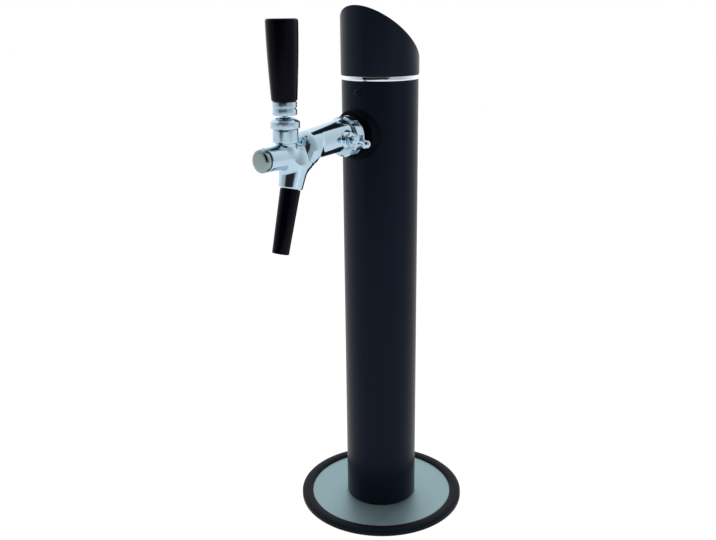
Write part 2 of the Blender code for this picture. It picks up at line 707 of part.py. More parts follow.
def make_shank_backing():
    inside = COLUMN_BORE_RADIUS - GAP
    last = COLUMN_RADIUS
    first = inside - BACKING_THICKNESS
    profile = [
        (BACKING_RADIUS, first),
        (BACKING_RADIUS, last),
        (SHANK_RADIUS + GAP, last),
        (SHANK_RADIUS + GAP, first),
    ]
    washer = turned(profile, TAP_AXIS, OUT, SMALL_FACETS, True)
    backing = add("shank_backing", washer, ALUMINIUM)
    low = TAP_HEIGHT - BACKING_RADIUS - OVERRUN
    high = TAP_HEIGHT + BACKING_RADIUS + OVERRUN
    wall = [
        (inside, low),
        (inside + BACKING_RADIUS, low),
        (inside + BACKING_RADIUS, high),
        (inside, high),
    ]
    cut(backing, turned(wall, CENTRE, UP, WIDE_FACETS, True), "column")


def hex_nut(name, start, way, first, last, half_flats, bore_radius, material):
    rings = [
        hexagon(half_flats, first, SMALL_FACETS),
        hexagon(half_flats, last, SMALL_FACETS),
        circle(bore_radius, last, SMALL_FACETS),
        circle(bore_radius, first, SMALL_FACETS),
    ]
    shape = skin(rings, True)
    shape.transform(axis_matrix(start, way))
    return add(name, shape, material)


def make_shank_locknut():
    last = COLUMN_BORE_RADIUS - GAP - BACKING_THICKNESS - GAP
    first = last - LOCKNUT_THICKNESS
    hole = SHANK_RADIUS + GAP
    place = TAP_AXIS
    hex_nut("shank_locknut", place, OUT, first, last, LOCKNUT_HALF_FLATS, hole, CHROME)


def make_union_washer():
    last = UNION_WASHER_REACH + UNION_WASHER_THICKNESS
    outer = SHANK_HEAD_RADIUS - GAP
    profile = [
        (outer, UNION_WASHER_REACH),
        (outer, last),
        (SHANK_BORE_RADIUS, last),
        (SHANK_BORE_RADIUS, UNION_WASHER_REACH),
    ]
    add("union_washer", turned(profile, TAP_AXIS, OUT, SMALL_FACETS, True), SEAL)


def make_union_nut():
    thread = SHANK_HEAD_RADIUS + GAP
    lip = TAIL_NECK_RADIUS + GAP
    profile = [
        (NUT_RADIUS - NUT_EDGE, NUT_REAR_REACH),
        (NUT_RADIUS, NUT_REAR_REACH + NUT_EDGE),
        (NUT_RADIUS, NUT_FRONT_REACH - NUT_EDGE),
        (NUT_RADIUS - NUT_EDGE, NUT_FRONT_REACH),
        (lip, NUT_FRONT_REACH),
        (lip, NUT_LIP_REACH),
        (thread, NUT_LIP_REACH),
        (thread, NUT_REAR_REACH),
    ]
    nut = add("union_nut", turned(profile, TAP_AXIS, OUT, ROUND_FACETS, True), CHROME)
    half = NUT_SLOT_WIDTH / 2
    low = NUT_RADIUS - NUT_SLOT_DEPTH
    high = NUT_RADIUS + OVERRUN
    start = NUT_FRONT_REACH - NUT_SLOT_LENGTH
    slots = bmesh.new()
    for number in range(NUT_SLOT_COUNT):
        slot = block((-half, low, start), (half, high, NUT_FRONT_REACH + OVERRUN))
        slot.transform(Matrix.Rotation(math.tau * number / NUT_SLOT_COUNT, 4, "Z"))
        slots = merged(slots, slot)
    slots.transform(axis_matrix(TAP_AXIS, OUT))
    cut(nut, slots, "hook_slots")


# Tap body
def make_tap_body():
    stations = [(ARM_ROOT_REACH, 1)]
    for step in range(ARM_TIP_STEPS + 1):
        angle = ARM_TIP_TURN * step / ARM_TIP_STEPS
        reach = ARM_TIP_REACH - ARM_TIP_ROUNDING * (1 - math.sin(angle))
        stations.append((reach, math.cos(angle)))
    rings = []
    for reach, fullness in stations:
        share = (reach - ARM_ROOT_REACH) / (ARM_TIP_REACH - ARM_ROOT_REACH)
        radius = (ARM_ROOT_RADIUS + (ARM_TIP_RADIUS - ARM_ROOT_RADIUS) * share) * fullness
        rise = ARM_ROOT_RISE - (ARM_ROOT_RISE + ARM_TIP_DROP) * share
        ring = circle(radius, reach, ROUND_FACETS)
        rings.append([Vector((point.x, -point.z, point.y + TAP_HEIGHT + rise)) for point in ring])
    body = add("tap_body", skin(rings, False), CHROME)

    tail = [
        (TAIL_FLANGE_RADIUS, TAIL_FLANGE_REACH),
        (TAIL_FLANGE_RADIUS, TAIL_FLANGE_REACH + TAIL_FLANGE_LENGTH),
        (TAIL_NECK_RADIUS, TAIL_FLANGE_REACH + TAIL_FLANGE_LENGTH),
        (TAIL_NECK_RADIUS, ARM_ROOT_REACH + OVERRUN),
    ]
    join(body, turned(tail, TAP_AXIS, OUT, ROUND_FACETS), "tail")
    barrel = [
        (BARREL_RADIUS, SEAT_REACH - OVERRUN),
        (BARREL_RADIUS, BARREL_REACH - BARREL_EDGE),
        (BARREL_RADIUS - BARREL_EDGE, BARREL_REACH),
    ]
    join(body, turned(barrel, BARREL_AXIS, OUT, ROUND_FACETS), "barrel")
    neck = [
        (NECK_WAIST_RADIUS, BARREL_HEIGHT),
        (NECK_WAIST_RADIUS, NECK_TOP - NECK_BAND_HEIGHT - NECK_CONE_HEIGHT),
        (NECK_RADIUS, NECK_TOP - NECK_BAND_HEIGHT),
        (NECK_RADIUS, NECK_TOP),
    ]
    join(body, turned(neck, NECK_FOOT, UP, ROUND_FACETS), "neck")
    spout = [(SPOUT_CROWN_RADIUS, -SPOUT_CROWN_RISE)]
    for step in range(1, BALL_STEPS + 1):
        share = math.sin(step / BALL_STEPS * math.pi / 2)
        along = -SPOUT_CROWN_RISE + (SPOUT_CROWN_RISE + SPOUT_BELLY_LENGTH) * step / BALL_STEPS
        spread = (SPOUT_BELLY_RADIUS - SPOUT_CROWN_RADIUS) * share
        spout.append((SPOUT_CROWN_RADIUS + spread, along))
    spout.append((SPOUT_END_RADIUS, SPOUT_LENGTH))
    join(body, turned(spout, SPOUT_ROOT, SPOUT_WAY, ROUND_FACETS), "spout")
    boss = bore(FLOW_CENTRE, SIDE, FLOW_BOSS_RADIUS, CONE_BORE_RADIUS, FLOW_BOSS_FACE, SMALL_FACETS)
    join(body, boss, "flow_boss")

    cone_bore = [
        (CONE_BORE_RADIUS, TAIL_FLANGE_REACH - OVERRUN),
        (CONE_BORE_RADIUS, CONE_BORE_STRAIGHT_REACH),
        (CONE_BORE_TIP_RADIUS, CONE_BORE_TIP_REACH),
    ]
    cut(body, turned(cone_bore, TAP_AXIS, OUT, SMALL_FACETS), "cone_bore")
    passage_start = TAP_AXIS + OUT * (CONE_BORE_TIP_REACH - PASSAGE_RADIUS)
    passage_end = BARREL_AXIS + OUT * (CHAMBER_START + PASSAGE_RADIUS)
    passage_way = passage_end - passage_start
    length = passage_way.length
    passage = bore(passage_start, passage_way, PASSAGE_RADIUS, 0, length, SMALL_FACETS)
    cut(body, passage, "passage")
    chamber = [
        (CHAMBER_RADIUS, CHAMBER_START),
        (CHAMBER_RADIUS, SEAT_REACH),
        (SEAT_BORE_RADIUS, SEAT_REACH),
        (SEAT_BORE_RADIUS, SEAT_END_REACH),
        (BARREL_BORE_RADIUS, SEAT_END_REACH),
        (BARREL_BORE_RADIUS, BARREL_REACH + OVERRUN),
    ]
    cut(body, turned(chamber, BARREL_AXIS, OUT, SMALL_FACETS), "valve_bore")
    well = [
        (FINGER_WELL_RADIUS, BARREL_HEIGHT),
        (FINGER_WELL_RADIUS, NECK_TOP - NECK_BORE_DEPTH),
        (NECK_BORE_RADIUS, NECK_TOP - NECK_BORE_DEPTH),
        (NECK_BORE_RADIUS, NECK_TOP + OVERRUN),
    ]
    cut(body, turned(well, NECK_FOOT, UP, SMALL_FACETS), "neck_bore")
    outlet = [
        (SPOUT_BORE_RADIUS, SPOUT_BORE_START),
        (SPOUT_BORE_RADIUS, SPOUT_LENGTH - SOCKET_DEPTH),
        (SOCKET_RADIUS, SPOUT_LENGTH - SOCKET_DEPTH),
        (SOCKET_RADIUS, SPOUT_LENGTH + OVERRUN),
    ]
    cut(body, turned(outlet, SPOUT_ROOT, SPOUT_WAY, SMALL_FACETS), "spout_bore")
    shaft_hole = FLOW_SHAFT_RADIUS + GAP
    last = FLOW_BOSS_FACE + OVERRUN
    cut(body, bore(FLOW_CENTRE, SIDE, shaft_hole, 0, last, TINY_FACETS), "flow_shaft_hole")


# Valve
def make_valve(parent):
    land = BARREL_BORE_RADIUS - GAP
    groove = land - VALVE_GROOVE_DEPTH
    groove_start = (VALVE_LAND_START + VALVE_LAND_END - VALVE_GROOVE_WIDTH) / 2
    groove_end = groove_start + VALVE_GROOVE_WIDTH
    profile = [
        (VALVE_HEAD_RADIUS, VALVE_HEAD_REACH),
        (VALVE_HEAD_RADIUS, VALVE_HEAD_REACH + VALVE_HEAD_LENGTH),
        (VALVE_ROD_RADIUS, VALVE_HEAD_REACH + VALVE_HEAD_LENGTH),
        (VALVE_ROD_RADIUS, VALVE_WAIST_START),
        (VALVE_WAIST_RADIUS, VALVE_WAIST_START),
        (VALVE_WAIST_RADIUS, VALVE_LAND_START),
        (land, VALVE_LAND_START),
        (land, groove_start),
        (groove, groove_start),
        (groove, groove_end),
        (land, groove_end),
        (land, VALVE_LAND_END),
    ]
    origin = BARREL_AXIS + OUT * NECK_REACH
    shape = turned(profile, BARREL_AXIS, OUT, SMALL_FACETS)
    piston = add("valve_piston", shape, CHROME, origin=origin, parent=parent)
    tip = FINGER_TIP_RADIUS + 2 * GAP
    floor = BARREL_HEIGHT - FINGER_TIP_RADIUS - 2 * GAP
    pocket = block((-tip, -NECK_REACH - tip, floor), (tip, tip - NECK_REACH, BALL_HEIGHT))
    cut(piston, pocket, "finger_pocket")
    rise = VALVE_WAIST_RADIUS
    lean = (BALL_RISE - rise) * math.sin(HANDLE_OPEN_ANGLE)
    window = VALVE_TRAVEL - lean + FINGER_RADIUS + 2 * GAP
    sill = BARREL_HEIGHT + FINGER_RADIUS
    low = (-tip, -NECK_REACH - window, sill)
    cut(piston, block(low, (tip, window - NECK_REACH, BALL_HEIGHT)), "finger_window")

    seal_end = VALVE_SEAL_REACH + VALVE_SEAL_THICKNESS
    hole = VALVE_ROD_RADIUS + GAP
    seal = [
        (VALVE_SEAL_RADIUS, VALVE_SEAL_REACH),
        (VALVE_SEAL_RADIUS, seal_end),
        (hole, seal_end),
        (hole, VALVE_SEAL_REACH),
    ]
    shape = turned(seal, BARREL_AXIS, OUT, SMALL_FACETS, True)
    add("valve_seal", shape, SEAL, origin=origin, parent=parent)
    ring_inner = groove + GAP
    ring_start = groove_start + GAP
    ring_end = groove_end - GAP
    ring = [(land, ring_start), (land, ring_end), (ring_inner, ring_end), (ring_inner, ring_start)]
    shape = turned(ring, BARREL_AXIS, OUT, SMALL_FACETS, True)
    add("piston_ring", shape, SEAL, origin=origin, parent=parent)


def make_front_cap():
    plug = BARREL_BORE_RADIUS - GAP
    seal_start = BARREL_REACH + GAP
    seal_end = seal_start + FRONT_SEAL_THICKNESS
    seal_inner = plug + GAP
    seal_outer = seal_inner + FRONT_SEAL_WALL
    seal = [
        (seal_outer, seal_start),
        (seal_outer, seal_end),
        (seal_inner, seal_end),
        (seal_inner, seal_start),
    ]
    add("front_seal", turned(seal, BARREL_AXIS, OUT, SMALL_FACETS, True), SEAL)
    face = seal_end + GAP
    side_end = face + FRONT_CAP_LENGTH - FRONT_CAP_DOME
    profile = [
        (plug, BARREL_REACH - CAP_PLUG_LENGTH),
        (plug, face),
        (FRONT_CAP_RADIUS, face),
        (FRONT_CAP_RADIUS, side_end),
    ]
    for step in range(1, FRONT_CAP_DOME_STEPS):
        angle = step / FRONT_CAP_DOME_STEPS * math.pi / 2
        radius = FRONT_CAP_RADIUS - FRONT_CAP_DOME * (1 - math.cos(angle))
        profile.append((radius, side_end + FRONT_CAP_DOME * math.sin(angle)))
    add("front_cap", turned(profile, BARREL_AXIS, OUT, ROUND_FACETS), CHROME)


# Lever and handle
def make_ball_seat():
    top = NECK_TOP - NECK_BORE_DEPTH + GAP + BALL_SEAT_HEIGHT
    bottom = NECK_TOP - NECK_BORE_DEPTH + GAP
    outer = NECK_BORE_RADIUS - GAP
    first = math.asin((top - BALL_HEIGHT) / BALL_CLEAR_RADIUS)
    last = -math.acos(BALL_SEAT_BORE_RADIUS / BALL_CLEAR_RADIUS)
    profile = [(outer, bottom), (outer, top)]
    profile += arc(0, BALL_HEIGHT, BALL_CLEAR_RADIUS, first, last, BALL_STEPS)
    profile += [(BALL_SEAT_BORE_RADIUS, bottom)]
    add("ball_seat", turned(profile, NECK_FOOT, UP, SMALL_FACETS, True), SEAT_PLASTIC)


def make_lever_bonnet():
    spigot = NECK_BORE_RADIUS - GAP
    spigot_bottom = BONNET_BOTTOM - BONNET_SPIGOT_LENGTH
    side_top = BONNET_BOTTOM + BONNET_SIDE_HEIGHT
    first = math.asin((spigot_bottom - BALL_HEIGHT) / BALL_CLEAR_RADIUS)
    last = math.acos(BONNET_LIP_RADIUS / BALL_CLEAR_RADIUS)
    cup = arc(0, BALL_HEIGHT, BALL_CLEAR_RADIUS, first, last, BALL_STEPS)
    profile = [
        (spigot, spigot_bottom),
        (spigot, BONNET_BOTTOM),
        (BONNET_RADIUS - BONNET_EDGE, BONNET_BOTTOM),
        (BONNET_RADIUS, BONNET_BOTTOM + BONNET_EDGE),
        (BONNET_RADIUS, side_top),
        (BONNET_MOUTH_RADIUS + BONNET_EDGE, BONNET_TOP),
        (BONNET_MOUTH_RADIUS, BONNET_TOP),
    ]
    profile += reversed(cup)
    add("lever_bonnet", turned(profile, NECK_FOOT, UP, ROUND_FACETS, True), CHROME)


def make_lever(parent):
    tip_height = BARREL_HEIGHT
    tip_join = math.acos(FINGER_RADIUS / FINGER_TIP_RADIUS)
    ball_foot = -math.acos(FINGER_RADIUS / BALL_RADIUS)
    ball_head = math.acos(STEM_RADIUS / BALL_RADIUS)
    tip_foot = -math.pi / 2 + math.pi / 2 / BALL_STEPS
    profile = arc(0, tip_height, FINGER_TIP_RADIUS, tip_foot, tip_join, BALL_STEPS)
    profile += arc(0, BALL_HEIGHT, BALL_RADIUS, ball_foot, ball_head, 2 * BALL_STEPS)
    thread_start = FERRULE_BOTTOM + GAP
    profile += [
        (STEM_RADIUS, thread_start),
        (THREAD_RADIUS, thread_start),
        (THREAD_RADIUS, thread_start + THREAD_LENGTH),
    ]
    shape = turned(profile, NECK_FOOT, UP, SMALL_FACETS)
    add("tap_lever", shape, CHROME, origin=BALL_CENTRE, parent=parent)

    hole = THREAD_RADIUS + GAP
    waist = FERRULE_RADIUS - FERRULE_GROOVE
    middle = (FERRULE_BOTTOM + FERRULE_TOP) / 2
    ferrule = [
        (FERRULE_RADIUS - FERRULE_EDGE, FERRULE_BOTTOM),
        (FERRULE_RADIUS, FERRULE_BOTTOM + FERRULE_EDGE),
        (FERRULE_RADIUS, middle - FERRULE_EDGE),
        (waist, middle - FERRULE_GROOVE / 2),
        (waist, middle + FERRULE_GROOVE / 2),
        (FERRULE_RADIUS, middle + FERRULE_EDGE),
        (FERRULE_RADIUS, FERRULE_TOP - FERRULE_EDGE),
        (FERRULE_RADIUS - FERRULE_EDGE, FERRULE_TOP),
        (hole, FERRULE_TOP),
        (hole, FERRULE_BOTTOM),
    ]
    shape = turned(ferrule, NECK_FOOT, UP, ROUND_FACETS, True)
    add("handle_ferrule", shape, CHROME, origin=BALL_CENTRE, parent=parent)

    top = HANDLE_BOTTOM + HANDLE_LENGTH
    profile = [(HANDLE_FOOT_RADIUS - HANDLE_FOOT_EDGE, HANDLE_BOTTOM)]
    side_start = HANDLE_BOTTOM + HANDLE_FOOT_EDGE
    side_end = top - HANDLE_TOP_EDGE
    for step in range(HANDLE_SIDE_STEPS + 1):
        share = step / HANDLE_SIDE_STEPS
        widening = (HANDLE_TOP_RADIUS - HANDLE_FOOT_RADIUS) * (1 - (1 - share) ** HANDLE_SWELL)
        height = side_start + (side_end - side_start) * share
        profile.append((HANDLE_FOOT_RADIUS + widening, height))
    for step in range(1, HANDLE_EDGE_STEPS + 1):
        angle = step / HANDLE_EDGE_STEPS * math.pi / 2
        radius = HANDLE_TOP_RADIUS - HANDLE_TOP_EDGE * (1 - math.cos(angle))
        profile.append((radius, side_end + HANDLE_TOP_EDGE * math.sin(angle)))
    shape = turned(profile, NECK_FOOT, UP, ROUND_FACETS)
    grip = add("handle_grip", shape, BLACK_GLOSS, origin=BALL_CENTRE, parent=parent)
    blind = thread_start + THREAD_LENGTH + GAP
    socket = bore(NECK_FOOT, UP, hole, FERRULE_BOTTOM, blind, SMALL_FACETS)
    cut(grip, socket, "thread_hole")


# Flow control
def make_flow_control(lever_parent, cone_parent):
    gland_start = FLOW_BOSS_FACE + GAP
    gland_end = gland_start + FLOW_GLAND_LENGTH
    hole = FLOW_SHAFT_RADIUS + GAP
    flats = FLOW_GLAND_HALF_FLATS
    hex_nut("flow_gland", FLOW_CENTRE, SIDE, gland_start, gland_end, flats, hole, CHROME)

    plate_start = gland_end + GAP
    plate_end = plate_start + FLOW_LEVER_THICKNESS
    middle = (plate_start + plate_end) / 2
    shaft = [(FLOW_SHAFT_RADIUS, FLOW_SHAFT_START), (FLOW_SHAFT_RADIUS, middle)]
    shape = turned(shaft, FLOW_CENTRE, SIDE, TINY_FACETS)
    lever = add("flow_lever", shape, CHROME, origin=FLOW_CENTRE, parent=lever_parent)
    pin_place = FLOW_CENTRE + DOWN * FLOW_THROW
    pin_start = FLOW_SHAFT_START - FLOW_PIN_LENGTH
    pin = bore(pin_place, SIDE, FLOW_PIN_RADIUS, pin_start, FLOW_SHAFT_START, TINY_FACETS)
    cheek = FLOW_THROW + FLOW_PIN_RADIUS
    web_start = FLOW_SHAFT_START - GAP
    web = block(
        (web_start, -FLOW_REACH - FLOW_PIN_RADIUS, TAP_HEIGHT - cheek),
        (FLOW_SHAFT_START + GAP, FLOW_PIN_RADIUS - FLOW_REACH, TAP_HEIGHT),
    )
    join(lever, web, "web")
    join(lever, pin, "pin")
    hub = bore(FLOW_CENTRE, SIDE, FLOW_LEVER_RADIUS, plate_start, plate_end, SMALL_FACETS)
    join(lever, hub, "hub")
    way = Vector((0, math.cos(FLOW_LEVER_DROP), -math.sin(FLOW_LEVER_DROP)))
    knob_place = FLOW_CENTRE + SIDE * middle + way * FLOW_LEVER_LENGTH
    half = FLOW_LEVER_THICKNESS / 2
    bar_start = FLOW_CENTRE + SIDE * middle
    bar = bore(bar_start, way, half, 0, FLOW_LEVER_LENGTH, TINY_FACETS)
    join(lever, bar, "bar")
    first = -math.pi / 2 + math.pi / 2 / FLOW_KNOB_STEPS
    ball = arc(0, 0, FLOW_KNOB_RADIUS, first, -first, FLOW_KNOB_STEPS)
    join(lever, turned(ball, knob_place, way, TINY_FACETS), "knob")

    rear = FLOW_REACH - CONE_REAR_LENGTH
    groove = FLOW_PIN_RADIUS + 2 * GAP
    profile = [
        (CONE_FACE_RADIUS, rear),
        (CONE_FACE_RADIUS, FLOW_REACH - groove),
        (CONE_GROOVE_RADIUS, FLOW_REACH - groove),
        (CONE_GROOVE_RADIUS, FLOW_REACH + groove),
        (CONE_FACE_RADIUS, FLOW_REACH + groove),
        (CONE_NOSE_RADIUS, CONE_NOSE_REACH),
    ]
    shape = turned(profile, TAP_AXIS, OUT, SMALL_FACETS)
    add("flow_cone", shape, SEAT_PLASTIC, origin=FLOW_CENTRE, parent=cone_parent)


# Nozzle
def make_nozzle():
    spigot = SOCKET_RADIUS - GAP
    spigot_start = SPOUT_LENGTH - SOCKET_DEPTH + GAP
    shoulder = SPOUT_LENGTH + GAP
    end = shoulder + NOZZLE_LENGTH
    groove_start = spigot_start + NOZZLE_GROOVE_DROP
    groove_end = groove_start + NOZZLE_GROOVE_WIDTH
    profile = [
        (spigot, spigot_start),
        (spigot, groove_start),
        (NOZZLE_GROOVE_RADIUS, groove_start),
        (NOZZLE_GROOVE_RADIUS, groove_end),
        (spigot, groove_end),
        (spigot, shoulder),
        (NOZZLE_TOP_RADIUS - NOZZLE_EDGE, shoulder),
        (NOZZLE_TOP_RADIUS, shoulder + NOZZLE_EDGE),
        (NOZZLE_END_RADIUS, end - NOZZLE_EDGE),
        (NOZZLE_END_RADIUS - NOZZLE_EDGE, end),
        (NOZZLE_BORE_RADIUS, end),
        (NOZZLE_BORE_RADIUS, spigot_start),
    ]
    shape = turned(profile, SPOUT_ROOT, SPOUT_WAY, ROUND_FACETS, True)
    add("nozzle", shape, BLACK_GLOSS)
    inner = NOZZLE_GROOVE_RADIUS + GAP
    ring = [
        (spigot, groove_start + GAP),
        (spigot, groove_end - GAP),
        (inner, groove_end - GAP),
        (inner, groove_start + GAP),
    ]
    add("nozzle_seal", turned(ring, SPOUT_ROOT, SPOUT_WAY, SMALL_FACETS, True), SEAL)


# Inner line
def barb_profile(start, toward):
    """Radii and places of a hose barb, from its root to its tip; toward is 1 or -1."""
    points = [(BARB_ROOT_RADIUS, start)]
    for number in range(BARB_COUNT):
        tooth = start + toward * BARB_PITCH * (number + 1) - toward * BARB_PITCH / 4
        tooth_end = start + toward * BARB_PITCH * (number + 1)
        points += [(BARB_RADIUS, tooth - toward * BARB_PITCH / 4), (BARB_ROOT_RADIUS, tooth_end)]
    return points


def tail_path():
    """Places along the bent tail's axis, from the shank's end to the root of its barb."""
    seat = TAP_AXIS + OUT * (SHANK_INNER_REACH - GAP)
    bend_start = seat - OUT * TAIL_STRAIGHT
    centre = bend_start + DOWN * TAIL_BEND_RADIUS
    places = [(seat, -OUT)]
    for step in range(TAIL_BEND_STEPS + 1):
        angle = math.pi / 2 * step / TAIL_BEND_STEPS
        radial = Vector((0, math.sin(angle), math.cos(angle)))
        along = Vector((0, math.cos(angle), -math.sin(angle)))
        places.append((centre + radial * TAIL_BEND_RADIUS, along))
    end, _ = places[-1]
    places.append((end + DOWN * TAIL_DROP, DOWN))
    return places


def ring_across(place, way, radius, facets):
    """A ring square to a path that stays in the plane of the tap."""
    up = SIDE.cross(way)
    ring = []
    for step in range(facets):
        angle = math.tau * step / facets
        ring.append(place + SIDE * (radius * math.cos(angle)) + up * (radius * math.sin(angle)))
    return ring


def make_hose_tail():
    path = tail_path()
    start, start_way = path[0]
    seat_end = start + start_way * TAIL_SEAT_THICKNESS
    rings = [
        ring_across(start, start_way, TAIL_SEAT_RADIUS, TINY_FACETS),
        ring_across(seat_end, start_way, TAIL_SEAT_RADIUS, TINY_FACETS),
        ring_across(seat_end, start_way, TAIL_PIPE_RADIUS, TINY_FACETS),
    ]
    rings += [ring_across(place, way, TAIL_PIPE_RADIUS, TINY_FACETS) for place, way in path[1:]]
    root, _ = path[-1]
    for radius, drop in barb_profile(0, 1):
        rings.append(ring_across(root + DOWN * drop, DOWN, radius, TINY_FACETS))
    tip = root + DOWN * (BARB_COUNT * BARB_PITCH)
    rings.append(ring_across(tip, DOWN, TAIL_BORE_RADIUS, TINY_FACETS))
    inner = [ring_across(place, way, TAIL_BORE_RADIUS, TINY_FACETS) for place, way in path]
    rings += reversed(inner)
    add("hose_tail", skin(rings, True), CHROME)
    return root


def make_tail_nut():
    seat_face = SHANK_INNER_REACH - GAP
    lip_end = seat_face - TAIL_SEAT_THICKNESS - GAP
    first = lip_end - TAIL_NUT_LIP
    last = SHANK_INNER_REACH + TAIL_NUT_GRIP
    rings = [
        hexagon(LOCKNUT_HALF_FLATS, first, SMALL_FACETS),
        hexagon(LOCKNUT_HALF_FLATS, last, SMALL_FACETS),
        circle(SHANK_RADIUS + GAP, last, SMALL_FACETS),
        circle(SHANK_RADIUS + GAP, lip_end, SMALL_FACETS),
        circle(TAIL_PIPE_RADIUS + GAP, lip_end, SMALL_FACETS),
        circle(TAIL_PIPE_RADIUS + GAP, first, SMALL_FACETS),
    ]
    shape = skin(rings, True)
    shape.transform(axis_matrix(TAP_AXIS, OUT))
    add("tail_nut", shape, CHROME)


def make_hose_clamp(name, middle):
    inner = HOSE_RADIUS + GAP
    outer = inner + CLAMP_THICKNESS
    half = CLAMP_WIDTH / 2
    profile = [(outer, -half), (outer, half), (inner, half), (inner, -half)]
    clamp = add(name, turned(profile, middle, UP, SMALL_FACETS, True), STEEL, origin=middle)
    ear = CLAMP_EAR_WIDTH / 2
    low = middle + Vector((-ear, inner + CLAMP_THICKNESS / 2, -half))
    high = middle + Vector((ear, outer + CLAMP_EAR_HEIGHT, half))
    join(clamp, block(low, high), "ear")


def make_inlet_fitting():
    collar_top = PLATE_TOP
    barb_root = FITTING_BODY_TOP
    profile = [
        (FITTING_COLLAR_RADIUS, FITTING_BOTTOM),
        (FITTING_COLLAR_RADIUS, collar_top),
        (FITTING_BODY_RADIUS, collar_top),
        (FITTING_BODY_RADIUS, barb_root),
    ]
    profile += barb_profile(barb_root, 1)
    barb_end = barb_root + BARB_COUNT * BARB_PITCH
    profile += [
        (TAIL_BORE_RADIUS, barb_end),
        (TAIL_BORE_RADIUS, FITTING_PORT_DEPTH),
        (FITTING_PORT_RADIUS, FITTING_PORT_DEPTH),
        (FITTING_PORT_RADIUS, FITTING_BOTTOM),
    ]
    add("inlet_fitting", turned(profile, FITTING_FOOT, UP, SMALL_FACETS, True), CHROME)
    first = FOOT_HEIGHT + FLANGE_WEB + GAP
    last = first + FITTING_NUT_THICKNESS
    hole = FITTING_BODY_RADIUS + GAP
    flats = FITTING_NUT_HALF_FLATS
    hex_nut("inlet_nut", FITTING_FOOT, UP, first, last, flats, hole, CHROME)
    return FITTING_FOOT + UP * barb_root


def smooth_route(points):
    """A curve through the points, whose slope at each follows its neighbours."""
    padded = [2 * points[0] - points[1], *points, 2 * points[-1] - points[-2]]
    slopes = []
    for before, after in zip(padded, padded[2:]):
        slopes.append((after - before).normalized())
    route = []
    for number in range(len(points) - 1):
        first, second = points[number], points[number + 1]
        span = (second - first).length
        for step in range(LINE_STEPS_PER_SPAN):
            t = step / LINE_STEPS_PER_SPAN
            far = t * t * (3 - 2 * t)
            leave = slopes[number] * (span * t * (1 - t) ** 2)
            arrive = slopes[number + 1] * (span * t * t * (1 - t))
            route.append(first * (1 - far) + second * far + leave - arrive)
    route.append(points[-1])
    return route


def make_beer_line(upper_root, lower_root):
    """The hose hangs from the bent tail and stands on the base fitting, with a little slack."""
    start = upper_root + DOWN * GAP
    end = lower_root + UP * GAP
    grip = Vector((0, 0, 2 * BARB_COUNT * BARB_PITCH))
    chosen = [start, start - grip / 2, start - grip]
    sway = SIDE * LINE_SWAY
    for share in LINE_BEND_SHARES:
        chosen.append((start - grip).lerp(end + grip, share) + sway)
        sway = -sway
    chosen += [end + grip, end + grip / 2, end]
    route = smooth_route(chosen)
    curve = bpy.data.curves.new("beer_line_route", "CURVE")
    curve.dimensions = "3D"
    curve.bevel_depth = HOSE_RADIUS
    curve.bevel_resolution = 2
    curve.use_fill_caps = True
    spline = curve.splines.new("POLY")
    spline.points.add(len(route) - 1)
    for point, place in zip(spline.points, route):
        point.co = (*place, 1)
    guide = bpy.data.objects.new("beer_line_route", curve)
    bpy.context.scene.collection.objects.link(guide)
    graph = bpy.context.evaluated_depsgraph_get()
    mesh = bpy.data.meshes.new_from_object(guide.evaluated_get(graph))
    shape = bmesh.new()
    shape.from_mesh(mesh)
    bmesh.ops.remove_doubles(shape, verts=shape.verts, dist=GAP / 10)
    bmesh.ops.recalc_face_normals(shape, faces=shape.faces)
    bpy.data.objects.remove(guide, do_unlink=True)
    line = add("beer_line", shape, HOSE_PLASTIC)
    socket = BARB_RADIUS + GAP
    depth = BARB_COUNT * BARB_PITCH + GAP
    cut(line, bore(start, DOWN, socket, -OVERRUN, depth, TINY_FACETS), "upper_socket")
    cut(line, bore(end, UP, socket, -OVERRUN, depth, TINY_FACETS), "lower_socket")


make_base_gasket()
make_base_plate()
make_foot_flange()
make_base_screws()
make_column_tube()
make_trim_ring()
make_top_cap()
make_cap_screw()
make_tap_escutcheon()
make_shank()
make_shank_backing()
make_shank_locknut()
make_union_washer()
make_union_nut()
make_tap_body()
make_valve(pivot("valve_axis", BARREL_AXIS + OUT * NECK_REACH))
make_front_cap()
make_ball_seat()
make_lever_bonnet()
make_lever(pivot("handle_pivot", BALL_CENTRE))
make_flow_control(pivot("flow_pivot", FLOW_CENTRE), pivot("flow_cone_axis", FLOW_CENTRE))
make_nozzle()
upper_barb = make_hose_tail()
lower_barb = make_inlet_fitting()
make_tail_nut()
make_beer_line(upper_barb, lower_barb)
clamp_rise = BARB_COUNT * BARB_PITCH / 2
make_hose_clamp("hose_clamp_upper", upper_barb + DOWN * clamp_rise)
make_hose_clamp("hose_clamp_lower", lower_barb + UP * clamp_rise)
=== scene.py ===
"""Looks of a beer tower dispenser: black column on a steel base, with one chromed pull tap.

Metres, +Z up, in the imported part's own frame. The tap points along -Y.
"""

import json
import math

import bmesh
import bpy
import numpy as np
from mathutils import Matrix, Vector

